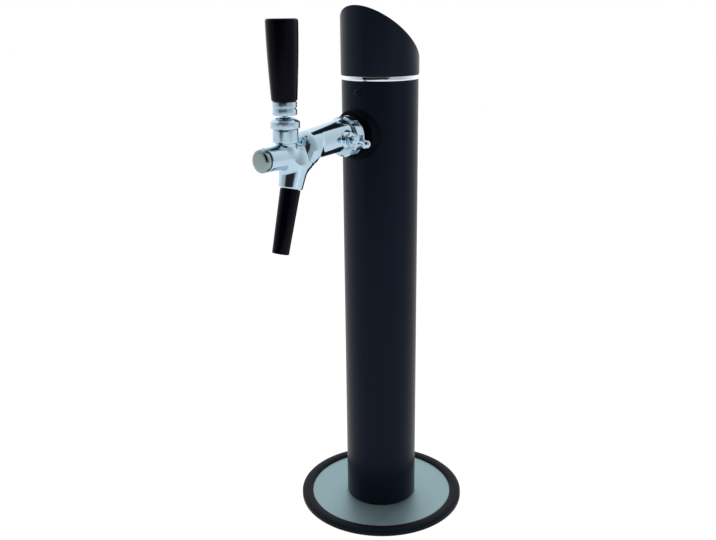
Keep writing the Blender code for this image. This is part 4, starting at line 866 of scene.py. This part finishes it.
def drawn_on(node, voxel, distance, kept):
    """A fine skin of a CAD node, moved onto the smooth surface that a distance gives.

    Points for which kept is true, such as those of the bores, stay where they are.
    """
    shape = bmesh.new()
    shape.from_mesh(frame["nodes"][node].data)
    bmesh.ops.remove_doubles(shape, verts=shape.verts, dist=voxel * SKIN_MERGE)
    target = carrier(shape)
    remesh = target.modifiers.new("skin", "REMESH")
    remesh.mode = "VOXEL"
    remesh.voxel_size = voxel
    mesh = finished(target)
    flat = np.zeros(len(mesh.vertices) * 3)
    mesh.vertices.foreach_get("co", flat)
    points = flat.reshape(-1, 3)
    free = ~kept(points)
    nudge = voxel * SKIN_NUDGE
    for _ in range(SKIN_PASSES):
        moving = points[free]
        value = distance(moving)
        slope = np.zeros_like(moving)
        for axis in range(3):
            shift = np.zeros(3)
            shift[axis] = nudge
            slope[:, axis] = (distance(moving + shift) - distance(moving - shift)) / (2 * nudge)
        size = np.maximum((slope * slope).sum(axis=1), STEEPEST_STEP)
        step = -slope * (value / size)[:, None]
        length = np.linalg.norm(step, axis=1)
        step *= np.minimum(1, voxel / np.maximum(length, NO_LENGTH))[:, None]
        points[free] = moving + step
    mesh.vertices.foreach_set("co", points.ravel())
    mesh.update()
    return mesh


def nut_distance(points):
    body = bar(points, tap_axis, tap_out, nut_radius, nut_rear, nut_front, NUT_EDGE)
    offset = points - np.array(tap_axis)
    for number in range(NUT_SLOTS):
        angle = math.tau * number / NUT_SLOTS
        way = np.array((math.sin(angle), 0, math.cos(angle)))
        side = np.array((math.cos(angle), 0, -math.sin(angle)))
        depth = nut_radius - SLOT_DEPTH - offset @ way
        width = np.abs(offset @ side) - SLOT_WIDTH / 2
        length = (nut_front - SLOT_LENGTH) - offset @ np.array(tap_out)
        slot = cut_softly(cut_softly(depth, width, SLOT_EDGE), length, SLOT_EDGE)
        body = cut_softly(body, -slot, SLOT_EDGE)
    return body


def in_nut_bore(points):
    aside = np.hypot(points[:, 0], points[:, 2] - tap_height)
    return aside < SHANK_HEAD_RADIUS + NUT_BORE_SLACK


nut_mesh = drawn_on("union_nut", NUT_VOXEL, nut_distance, in_nut_bore)
nut = piece("ring_nut", nut_mesh, soft_chrome, smooth=50)
fit(nut, "tower", "chrome", "union_nut")


# Tap body: one casting in brass, ground, polished and chromed: a tapering arm that falls
# towards the barrel, the barrel for the valve, a neck for the lever and a leaning spout.
BODY_VOXEL = 0.00054
ARM_ROOT_RADIUS = 0.0155
ARM_ROOT_RISE = 0.0025
ARM_ROOT_EDGE = 0.00165
ARM_TIP_RADIUS = 0.0140
ARM_TIP_DROP = 0.0040
ARM_TIP_SETBACK = 0.0145
ARM_TIP_ROUNDING = 0.0110
BARREL_DROP = 0.0090
BARREL_RADIUS = 0.0105
NECK_SETBACK = 0.0265
NECK_RADIUS = 0.0115
NECK_WAIST_RADIUS = 0.0096
NECK_BAND_HEIGHT = 0.0115
NECK_CONE_HEIGHT = 0.0014
NECK_HEIGHT = 0.0250
SPOUT_SETBACK = 0.0117
SPOUT_LEAN = math.radians(15.25)
SPOUT_LENGTH = 0.0305
SPOUT_CROWN_RISE = 0.0050
SPOUT_BELLY_LENGTH = 0.0090
SPOUT_CROWN_RADIUS = 0.0060
SPOUT_BELLY_RADIUS = 0.0134
SPOUT_END_RADIUS = 0.0110
SPOUT_FRONT_FILLET = 0.0060
BOSS_RADIUS = 0.0075
CASTING_FILLET = 0.0120
NECK_FILLET = 0.0022
CAST_EDGE = 0.0011
ARM_BORE = 0.0096
ARM_BORE_END = 0.093
BARREL_BORE = 0.0076
BARREL_BORE_START = 0.088
NECK_BORE_WALL = 0.0094
SPOUT_BORE = 0.0081
SPOUT_BORE_START = 0.003
BOSS_BORE = 0.0031
BOSS_BORE_START = 0.006

chrome = speckled(
    "chrome_plate", CHROME_TINT,
    spread=0.03, scale=260, roughness=(0.05, 0.10), depth=0.000002, metallic=1.0,
)

gland_low, gland_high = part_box("flow_gland")
barrel_reach = -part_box("tap_body")[0].y
barrel_height = tap_height - BARREL_DROP
neck_reach = barrel_reach - NECK_SETBACK
neck_top = barrel_height + NECK_HEIGHT
arm_root = nut_front + FIT_GAP
arm_tip = neck_reach - ARM_TIP_SETBACK
spout_reach = neck_reach - SPOUT_SETBACK
barrel_axis = Vector((0, 0, barrel_height))
neck_foot = Vector((0, -neck_reach, 0))
spout_root = Vector((0, -spout_reach, barrel_height))
spout_way = Vector((0, -math.sin(SPOUT_LEAN), -math.cos(SPOUT_LEAN)))
flow_centre = Vector((0, (gland_low.y + gland_high.y) / 2, tap_height))
boss_face = gland_low.x - FIT_GAP
right = Vector((1, 0, 0))


def neck_width(height):
    cone_top = neck_top - NECK_BAND_HEIGHT
    return np.interp(
        height, (cone_top - NECK_CONE_HEIGHT, cone_top), (NECK_WAIST_RADIUS, NECK_RADIUS)
    )


def spout_width(along):
    belly = SPOUT_CROWN_RISE + SPOUT_BELLY_LENGTH
    share = np.clip((along + SPOUT_CROWN_RISE) / belly, 0, 1)
    swell = (SPOUT_BELLY_RADIUS - SPOUT_CROWN_RADIUS) * np.sin(share * math.pi / 2)
    down = np.clip((along - SPOUT_BELLY_LENGTH) / (SPOUT_LENGTH - SPOUT_BELLY_LENGTH), 0, 1)
    return SPOUT_CROWN_RADIUS + swell + (SPOUT_END_RADIUS - SPOUT_BELLY_RADIUS) * down


def arm_distance(points):
    reach = -points[:, 1]
    share = np.clip((reach - arm_root) / (arm_tip - arm_root), 0, 1)
    rise = ARM_ROOT_RISE - (ARM_ROOT_RISE + ARM_TIP_DROP) * share
    past = np.clip((reach - arm_tip) / ARM_TIP_ROUNDING + 1, 0, 1)
    width = ARM_ROOT_RADIUS + (ARM_TIP_RADIUS - ARM_ROOT_RADIUS) * share
    width = width * np.sqrt(1 - past * past)
    side = np.hypot(points[:, 0], points[:, 2] - tap_height - rise) - width
    return cut_softly(side, arm_root - reach, ARM_ROOT_EDGE)


def body_distance(points):
    """The whole casting; the spout's fillet is wide behind it and tight in front."""
    first = arm_tip - ARM_TIP_ROUNDING
    barrel = bar(points, barrel_axis, tap_out, BARREL_RADIUS, first, barrel_reach, CAST_EDGE)
    neck = bar(points, neck_foot, upright, neck_width, barrel_height, neck_top, CAST_EDGE)
    first = -SPOUT_CROWN_RISE
    spout = bar(points, spout_root, spout_way, spout_width, first, SPOUT_LENGTH, CAST_EDGE)
    boss = bar(points, flow_centre, right, BOSS_RADIUS, 0, boss_face, CAST_EDGE)
    below = barrel_height - points[:, 2]
    behind = spout_reach + below * math.tan(SPOUT_LEAN) + points[:, 1]
    share = np.clip(0.5 + behind / SPOUT_BELLY_RADIUS, 0, 1)
    fillet = SPOUT_FRONT_FILLET + (CASTING_FILLET - SPOUT_FRONT_FILLET) * share
    whole = joined_softly(arm_distance(points), barrel, CASTING_FILLET)
    whole = joined_softly(whole, spout, fillet)
    whole = joined_softly(whole, neck, NECK_FILLET)
    return joined_softly(whole, boss, NECK_FILLET)


def in_body_bores(points):
    """Points on the walls of the bores, which the fitted parts hide."""
    reach = -points[:, 1]
    from_tap = np.hypot(points[:, 0], points[:, 2] - tap_height)
    from_barrel = np.hypot(points[:, 0], points[:, 2] - barrel_height)
    from_neck = np.hypot(points[:, 0], points[:, 1] + neck_reach)
    along, from_spout = from_axis(points, spout_root, spout_way)
    from_boss = np.hypot(points[:, 1] - flow_centre.y, points[:, 2] - flow_centre.z)
    kept = reach < arm_root - BODY_VOXEL
    kept |= (from_tap < ARM_BORE) & (reach < ARM_BORE_END)
    kept |= (from_barrel < BARREL_BORE) & (reach > BARREL_BORE_START)
    kept |= (from_neck < NECK_BORE_WALL) & (points[:, 2] > barrel_height)
    kept |= (from_spout < SPOUT_BORE) & (along > SPOUT_BORE_START)
    kept |= (from_boss < BOSS_BORE) & (points[:, 0] > BOSS_BORE_START)
    return kept


tap_mesh = drawn_on("tap_body", BODY_VOXEL, body_distance, in_body_bores)
tap = piece("tap_casting", tap_mesh, chrome, smooth=60)
fit(tap, "tower", "chrome", "tap_body")


# Front cap: turned brass with a low dome and a satin finish. It screws into the barrel's
# mouth onto a thin black seal.
CAP_DOME = 0.0024
DOME_SHOULDER = 0.00384
DOME_RISE = 0.002208
DOME_STEPS = 12
TURNED_SIDES = 96
PLUG_RADIUS = 0.0067
PLUG_LENGTH = 0.0050
FRONT_EDGE = 0.0004
SEAL_THICKNESS = 0.0010
SATIN_TINT = (0.270, 0.335, 0.345)

satin = speckled(
    "satin_chrome", SATIN_TINT,
    spread=0.06, scale=500, roughness=(0.14, 0.24), depth=0.000003, metallic=1.0,
)

front_low, front_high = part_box("front_cap")
front_radius = front_high.x
front_face = barrel_reach + 2 * FIT_GAP + SEAL_THICKNESS
front_end = -front_low.y
dome_foot = front_end - CAP_DOME
dome_middle = front_radius - DOME_SHOULDER
front_profile = [(0, barrel_reach - PLUG_LENGTH), (PLUG_RADIUS, barrel_reach - PLUG_LENGTH)]
front_profile += eased(
    [
        (PLUG_RADIUS, front_face, 0),
        (front_radius, front_face, FRONT_EDGE),
        (front_radius, dome_foot, 0),
    ]
)
dome = arc(dome_middle, dome_foot, DOME_SHOULDER, 0, math.pi / 2, DOME_STEPS, DOME_RISE)
front_profile += [*dome[1:], (0, front_end)]
front_shape = lathe(front_profile, TURNED_SIDES, barrel_axis, tap_out)
front = piece("front_cap_domed", front_shape, satin, smooth=35)
fit(front, "tower", "chrome", "front_cap")


# Bonnet: the chromed collar on the neck that keeps the lever's ball on its seat. Slots in
# its shoulder take a spanner.
BONNET_SIDE_HEIGHT = 0.0060
BONNET_MOUTH = 0.0083
BONNET_EDGE = 0.0010
BONNET_SPIGOT = 0.0040
BONNET_SLOTS = 4
BONNET_SLOT_WIDTH = 0.0030
BONNET_SLOT_DEPTH = 0.0026
BONNET_SLOT_DROP = 0.0008
BONNET_SLOT_CLEAR = 0.0020
BONNET_SLOT_BEARING = math.radians(26)
BALL_RISE = 0.0220
BALL_CLEAR_RADIUS = 0.0071
BALL_CLEAR_STEPS = 8
BONNET_LIP_RADIUS = 0.0054
NECK_BORE = 0.0088

bonnet_low, bonnet_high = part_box("lever_bonnet")
bonnet_radius = bonnet_high.x
bonnet_foot = bonnet_low.z + BONNET_SPIGOT
bonnet_shoulder = bonnet_foot + BONNET_SIDE_HEIGHT
ball_height = barrel_height + BALL_RISE
spigot = NECK_BORE - FIT_GAP
bonnet_profile = [(spigot, bonnet_low.z)]
bonnet_profile += eased(
    [
        (spigot, bonnet_foot, 0),
        (bonnet_radius, bonnet_foot, BONNET_EDGE),
        (bonnet_radius, bonnet_shoulder, BONNET_EDGE),
        (BONNET_MOUTH + BONNET_EDGE, bonnet_high.z, BONNET_EDGE / 2),
        (BONNET_MOUTH, bonnet_high.z, 0),
    ]
)
first = math.acos(BONNET_LIP_RADIUS / BALL_CLEAR_RADIUS)
last = math.asin((bonnet_low.z - ball_height) / BALL_CLEAR_RADIUS)
bonnet_profile += arc(0, ball_height, BALL_CLEAR_RADIUS, first, last, BALL_CLEAR_STEPS)

half_width = BONNET_SLOT_WIDTH / 2
slot_low = Vector((-half_width, -BONNET_SLOT_CLEAR, bonnet_shoulder - BONNET_SLOT_DROP))
slot_high = Vector((half_width, BONNET_SLOT_DEPTH, bonnet_high.z + BONNET_SLOT_CLEAR))
slot_size = Matrix.Diagonal((*(slot_high - slot_low), 1))
slot_cutter = bmesh.new()
bmesh.ops.create_cube(slot_cutter, size=1)
slot_cutter.transform(Matrix.Translation((slot_low + slot_high) / 2) @ slot_size)
slot_meshes = set_on_circle(
    slot_cutter, chrome, BONNET_SLOTS, bonnet_radius, bearing=BONNET_SLOT_BEARING
)
slot_meshes.transform(Matrix.Translation(neck_foot))
bonnet_mesh = carved(lathe(bonnet_profile, TURNED_SIDES, neck_foot, ring=True), slot_meshes)
bonnet = piece("bonnet_slotted", bonnet_mesh, soft_chrome, smooth=30)
fit(bonnet, "tower", "chrome", "lever_bonnet")


# Lever: one turned steel piece, chromed: the ball, the finger below it that moves the
# valve, and the threaded stem that carries the handle.
BALL_RADIUS = 0.0068
BALL_STEPS = 24
STEM_RADIUS = 0.0030
STEM_THREAD_RADIUS = 0.0040
FINGER_RADIUS = 0.0016
FINGER_TIP_RADIUS = 0.0024
FINGER_TIP_STEPS = 8
LEVER_SIDES = 64

lever_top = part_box("tap_lever")[1].z
ferrule_low, ferrule_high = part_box("handle_ferrule")
stem_top = ferrule_low.z + FIT_GAP
last = math.acos(FINGER_RADIUS / FINGER_TIP_RADIUS)
finger_tip = arc(0, barrel_height, FINGER_TIP_RADIUS, -math.pi / 2, last, FINGER_TIP_STEPS)
first = -math.acos(FINGER_RADIUS / BALL_RADIUS)
last = math.acos(STEM_RADIUS / BALL_RADIUS)
lever_profile = [
    (0, barrel_height - FINGER_TIP_RADIUS),
    *finger_tip[1:],
    *arc(0, ball_height, BALL_RADIUS, first, last, BALL_STEPS),
    (STEM_RADIUS, stem_top),
    (STEM_THREAD_RADIUS, stem_top),
    (STEM_THREAD_RADIUS, lever_top),
    (0, lever_top),
]
lever_shape = lathe(lever_profile, LEVER_SIDES, neck_foot)
lever = piece("lever_turned", lever_shape, chrome, smooth=35)
fit(lever, "handle", "chrome", "tap_lever")


# Ferrule: a chromed sleeve under the handle with one turned groove. It hides the end of
# the handle's thread.
GROOVE_DEPTH = 0.0008
GROOVE_EDGE = 0.0003
GROOVE_CORNER = 0.0002
FERRULE_EDGE = 0.0009
FERRULE_BORE = 0.0043

ferrule_radius = ferrule_high.x
groove_radius = ferrule_radius - GROOVE_DEPTH
groove_height = (ferrule_low.z + ferrule_high.z) / 2
ferrule_profile = eased(
    [
        (ferrule_radius, ferrule_low.z, FERRULE_EDGE),
        (ferrule_radius, groove_height - GROOVE_DEPTH, GROOVE_EDGE),
        (groove_radius, groove_height - GROOVE_DEPTH / 2, GROOVE_CORNER),
        (groove_radius, groove_height + GROOVE_DEPTH / 2, GROOVE_CORNER),
        (ferrule_radius, groove_height + GROOVE_DEPTH, GROOVE_EDGE),
        (ferrule_radius, ferrule_high.z, FERRULE_EDGE),
        (FERRULE_BORE, ferrule_high.z, 0),
        (FERRULE_BORE, ferrule_low.z, 0),
    ],
    closed=True,
)
ferrule_shape = lathe(ferrule_profile, TURNED_SIDES, neck_foot, ring=True)
ferrule = piece("ferrule_grooved", ferrule_shape, soft_chrome, smooth=35)
fit(ferrule, "handle", "chrome", "handle_ferrule")


# Handle: a turned and moulded grip in black gloss plastic that swells to a rounded top.
# It screws onto the lever's stem.
GRIP_TOP_EDGE = 0.0020
GRIP_TOP_STEPS = 12
GRIP_FOOT_EDGE = 0.0012
GRIP_FOOT_STEPS = 6
GRIP_FOOT_RADIUS = 0.0116
GRIP_SWELL = 1.6
GRIP_SWELL_STEPS = 24
GRIP_SIDES = 128
GRIP_TINT = (0.0009, 0.0010, 0.0022)
GRIP_GLOSS = 0.10
GRIP_SHINE = (0.72, 0.70, 1.0)

grip_plastic = speckled(
    "gloss_black_plastic", GRIP_TINT,
    spread=0.3, scale=500, roughness=(0.13, 0.22), depth=0.000006,
    gloss=GRIP_GLOSS, gloss_tint=GRIP_SHINE,
)

grip_low, grip_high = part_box("handle_grip")
grip_radius = grip_high.x
side_start = grip_low.z + GRIP_FOOT_EDGE
side_end = grip_high.z - GRIP_TOP_EDGE
foot_flat = GRIP_FOOT_RADIUS - GRIP_FOOT_EDGE
foot = arc(foot_flat, side_start, GRIP_FOOT_EDGE, -math.pi / 2, 0, GRIP_FOOT_STEPS)
grip_profile = [(0, grip_low.z), *foot]
for step in range(1, GRIP_SWELL_STEPS + 1):
    share = step / GRIP_SWELL_STEPS
    widening = (grip_radius - GRIP_FOOT_RADIUS) * (1 - (1 - share) ** GRIP_SWELL)
    height = side_start + (side_end - side_start) * share
    grip_profile.append((GRIP_FOOT_RADIUS + widening, height))
top_flat = grip_radius - GRIP_TOP_EDGE
top = arc(top_flat, side_end, GRIP_TOP_EDGE, 0, math.pi / 2, GRIP_TOP_STEPS)
grip_profile += [*top[1:], (0, grip_high.z)]
grip_shape = lathe(grip_profile, GRIP_SIDES, neck_foot)
grip = piece("grip_gloss_black", grip_shape, grip_plastic, smooth=35)
fit(grip, "handle", "grip_plastic", "handle_grip")


# Flow control: a small chromed lever with a round knob on the tap's right side. It turns
# in a hexagonal gland and slides the cone in the arm.
KNOB_RADIUS = 0.0046
LEVER_LENGTH = 0.0170
LEVER_DROP = math.radians(19)
LEVER_BAR_RADIUS = 0.0015
LEVER_BAR_EDGE = 0.0005
LEVER_FILLET = 0.0012
HUB_RADIUS = 0.0040
HUB_LENGTH = 0.0030
HUB_EDGE = 0.0009
FLOW_VOXEL = 0.00022
GLAND_HALF_FLATS = 0.0058
GLAND_BORE = 0.0025
CHAMFER_SIDES = 48
CHAMFER_LENGTH = 0.0007
CHAMFER_CLEAR = 0.0010
WASTE_RADIUS = 0.02
FACE_RADIUS = GLAND_HALF_FLATS * 0.9
SIDE_RADIUS = GLAND_HALF_FLATS * 1.16

hub_first = gland_high.x + FIT_GAP
hub_last = hub_first + HUB_LENGTH
bar_start = flow_centre + right * ((hub_first + hub_last) / 2)
bar_way = Vector((0, math.cos(LEVER_DROP), -math.sin(LEVER_DROP)))
knob_place = bar_start + bar_way * LEVER_LENGTH


def flow_lever_distance(points):
    hub = bar(points, flow_centre, right, HUB_RADIUS, hub_first, hub_last, HUB_EDGE)
    arm = bar(points, bar_start, bar_way, LEVER_BAR_RADIUS, 0, LEVER_LENGTH, LEVER_BAR_EDGE)
    knob = np.linalg.norm(points - np.array(knob_place), axis=1) - KNOB_RADIUS
    return joined_softly(joined_softly(hub, arm, LEVER_FILLET), knob, LEVER_FILLET)


def in_gland(points):
    return points[:, 0] < hub_first - FLOW_VOXEL


flow_mesh = drawn_on("flow_lever", FLOW_VOXEL, flow_lever_distance, in_gland)
flow_lever = piece("flow_lever_knob", flow_mesh, chrome, smooth=60)
fit(flow_lever, "flow_handle", "chrome", "flow_lever")

gland_corners = GLAND_HALF_FLATS / math.cos(math.pi / HEXAGON)
gland_profile = [
    (GLAND_BORE, gland_low.x),
    (gland_corners, gland_low.x),
    (gland_corners, gland_high.x),
    (GLAND_BORE, gland_high.x),
]
waste_low = gland_low.x - CHAMFER_CLEAR
waste_high = gland_high.x + CHAMFER_CLEAR
chamfer_profile = [
    (0, waste_low),
    (WASTE_RADIUS, waste_low),
    (WASTE_RADIUS, waste_high),
    (FACE_RADIUS, waste_high),
    (SIDE_RADIUS, gland_high.x - CHAMFER_LENGTH),
    (SIDE_RADIUS, gland_low.x - CHAMFER_CLEAR / 2),
    (0, gland_low.x - CHAMFER_CLEAR / 2),
]
gland_mesh = carved(
    lathe(gland_profile, HEXAGON, flow_centre, right, ring=True),
    lathe(chamfer_profile, CHAMFER_SIDES, flow_centre, right),
)
gland = piece("flow_gland_hex", gland_mesh, soft_chrome, smooth=25)
fit(gland, "tower", "chrome", "flow_gland")


# Nozzle: a tapered outlet tube in black gloss plastic, pushed into the spout against an
# O-ring so that it comes out for cleaning.
NOZZLE_TOP_RADIUS = 0.0094
NOZZLE_END_RADIUS = 0.0079
NOZZLE_LENGTH = 0.0596
NOZZLE_BORE = 0.0048
NOZZLE_SPIGOT_RADIUS = 0.0072
NOZZLE_SPIGOT_LENGTH = 0.0115
NOZZLE_EDGE = 0.0008
NOZZLE_INNER_EDGE = 0.0003

nozzle_top = SPOUT_LENGTH + FIT_GAP
nozzle_end = nozzle_top + NOZZLE_LENGTH
spigot_end = nozzle_top - NOZZLE_SPIGOT_LENGTH
nozzle_profile = eased(
    [
        (NOZZLE_BORE, spigot_end, 0),
        (NOZZLE_SPIGOT_RADIUS, spigot_end, NOZZLE_INNER_EDGE),
        (NOZZLE_SPIGOT_RADIUS, nozzle_top, 0),
        (NOZZLE_TOP_RADIUS, nozzle_top, NOZZLE_EDGE),
        (NOZZLE_END_RADIUS, nozzle_end, NOZZLE_EDGE),
        (NOZZLE_BORE, nozzle_end, NOZZLE_INNER_EDGE),
    ],
    closed=True,
)
nozzle_shape = lathe(nozzle_profile, TURNED_SIDES, spout_root, spout_way, ring=True)
nozzle = piece("nozzle_tapered", nozzle_shape, grip_plastic, smooth=35)
fit(nozzle, "tower", "grip_plastic", "nozzle")


# Hidden parts: the seals, the ball's seat, the flow cone, the flange, the hose and its
# fittings keep their solids, each with the finish of its own stock.
SEAL_TINT = (0.010, 0.010, 0.011)
SEAT_TINT = (0.72, 0.72, 0.67)
HOSE_TINT = (0.58, 0.62, 0.64)
CAST_TINT = (0.56, 0.57, 0.58)

seal = speckled(
    "seal_rubber", SEAL_TINT, spread=0.3, scale=1500, roughness=(0.5, 0.7), depth=0.00001
)
seat = speckled(
    "acetal", SEAT_TINT, spread=0.05, scale=800, roughness=(0.3, 0.42), depth=0.000008
)
hose = speckled(
    "hose_plastic", HOSE_TINT, spread=0.05, scale=300, roughness=(0.2, 0.3), depth=0.00001
)
cast = speckled(
    "cast_aluminium", CAST_TINT,
    spread=0.12, scale=600, roughness=(0.38, 0.55), depth=0.00004, metallic=1.0,
)
HIDDEN_PARTS = (
    (seal, "union_washer", "valve_seal", "piston_ring", "front_seal", "nozzle_seal"),
    (seat, "ball_seat", "flow_cone"),
    (hose, "beer_line"),
    (cast, "foot_flange", "shank_backing"),
    (steel, "hose_clamp_upper", "hose_clamp_lower"),
    (chrome, "shank_locknut", "tail_nut", "hose_tail", "inlet_fitting", "inlet_nut"),
    (chrome, "valve_piston"),
)
for finish, *nodes in HIDDEN_PARTS:
    for node in nodes:
        dress(frame["nodes"][node].data, finish)


# Studio: a white sweep that the camera and the chrome see as white, with the soft shadow
# of the tower on it, and a darker room on the camera's side.
FLOOR_SIZE = 6.0
FLOOR_TINT = (0.86, 0.86, 0.86)
FLOOR_ROUGHNESS = 0.9
FLOOR_GLOW_SHARE = 0.78
FLOOR_GLOW = 1.16
METAL_SHARE = 0.75
ROOM_DIFFUSE = 0.62
ROOM_DARK = 0.05
ROOM_FRONT = 0.5
ROOM_BACK = 1.15
ROOM_TURN_START = -0.6
ROOM_TURN_END = 0.7
DARK_TURN = math.radians(12.5)
DARK_RISE = math.radians(20)
DARK_REACH = math.radians(43)
DARK_BLUR = math.radians(6)
SOFTBOX_TARGET = Vector((0.0, 0.0, 0.3))
SOFTBOXES = (
    ("top_softbox", (0.1, -0.2, 1.9), (1.4, 1.0), 9.0),
    ("left_softbox", (-1.5, -0.9, 0.9), (0.7, 1.5), 9.0),
    ("right_softbox", (1.7, -0.05, 0.8), (0.6, 1.5), 8.0),
)

sweep, tree, shader = surface("white_sweep", FLOOR_TINT, gloss=0.0)
shader.inputs["Roughness"].default_value = FLOOR_ROUGHNESS
ray = tree.nodes.new("ShaderNodeLightPath").outputs
seen = sums(tree, "MULTIPLY_ADD", ray["Is Glossy Ray"], METAL_SHARE, ray["Is Camera Ray"])
share = sums(tree, "MULTIPLY", seen, FLOOR_GLOW_SHARE)
glow = wired(tree, "ShaderNodeEmission", {"Strength": FLOOR_GLOW})
parts = {0: share, 1: shader.outputs["BSDF"], 2: glow.outputs["Emission"]}
mixed = wired(tree, "ShaderNodeMixShader", parts)
fill(tree, tree.nodes["Material Output"].inputs, {"Surface": mixed.outputs["Shader"]})
floor_shape = bmesh.new()
bmesh.ops.create_grid(floor_shape, x_segments=1, y_segments=1, size=FLOOR_SIZE / 2)
floor = piece("floor_sweep", floor_shape, sweep)

world = bpy.data.worlds.new("studio")
scene.world = world
world.use_nodes = True
tree = world.node_tree
ray = tree.nodes.new("ShaderNodeLightPath").outputs
sight = tree.nodes.new("ShaderNodeTexCoord").outputs["Generated"]


def level(way, first, last, low, high):
    """A level that eases from low to high as the line of sight turns towards a way."""
    toward = wired(tree, "ShaderNodeVectorMath", {0: sight, 1: way}, operation="DOT_PRODUCT")
    reach = {"Value": toward.outputs["Value"], "From Min": first, "From Max": last}
    levels = {**reach, "To Min": low, "To Max": high}
    easing = {"interpolation_type": "SMOOTHSTEP"}
    return wired(tree, "ShaderNodeMapRange", levels, **easing).outputs["Result"]


dark_flat = -ahead * math.cos(DARK_TURN) - across * math.sin(DARK_TURN)
dark_way = dark_flat * math.cos(DARK_RISE) + upright * math.sin(DARK_RISE)
dark_first, dark_last = math.cos(DARK_REACH + DARK_BLUR), math.cos(DARK_REACH - DARK_BLUR)
glossy_level = level(dark_way, dark_first, dark_last, 1.0, ROOM_DARK)
room_level = level(ahead, ROOM_TURN_START, ROOM_TURN_END, ROOM_FRONT, ROOM_BACK)
darkened = sums(tree, "MULTIPLY", glossy_level, room_level)
seen_in = {"Factor": ray["Is Glossy Ray"], "A": ROOM_DIFFUSE, "B": darkened}
for_glossy = wired(tree, "ShaderNodeMix", seen_in).outputs["Result"]
seen_by = {"Factor": ray["Is Camera Ray"], "A": for_glossy, "B": 1.0}
for_camera = wired(tree, "ShaderNodeMix", seen_by).outputs["Result"]
background = tree.nodes["Background"].inputs
fill(tree, background, {"Strength": for_camera, "Color": (1, 1, 1, 1)})

for name, where, size, power in SOFTBOXES:
    lamp = bpy.data.lights.new(name, "AREA")
    lamp.shape = "RECTANGLE"
    lamp.size, lamp.size_y = size
    lamp.energy = power
    holder = bpy.data.objects.new(name, lamp)
    holder.location = where
    aim = SOFTBOX_TARGET - Vector(where)
    holder.rotation_euler = aim.to_track_quat("-Z", "Y").to_euler()
    holder.visible_glossy = False
    scene.collection.objects.link(holder)

scene.view_settings.view_transform = "Standard"
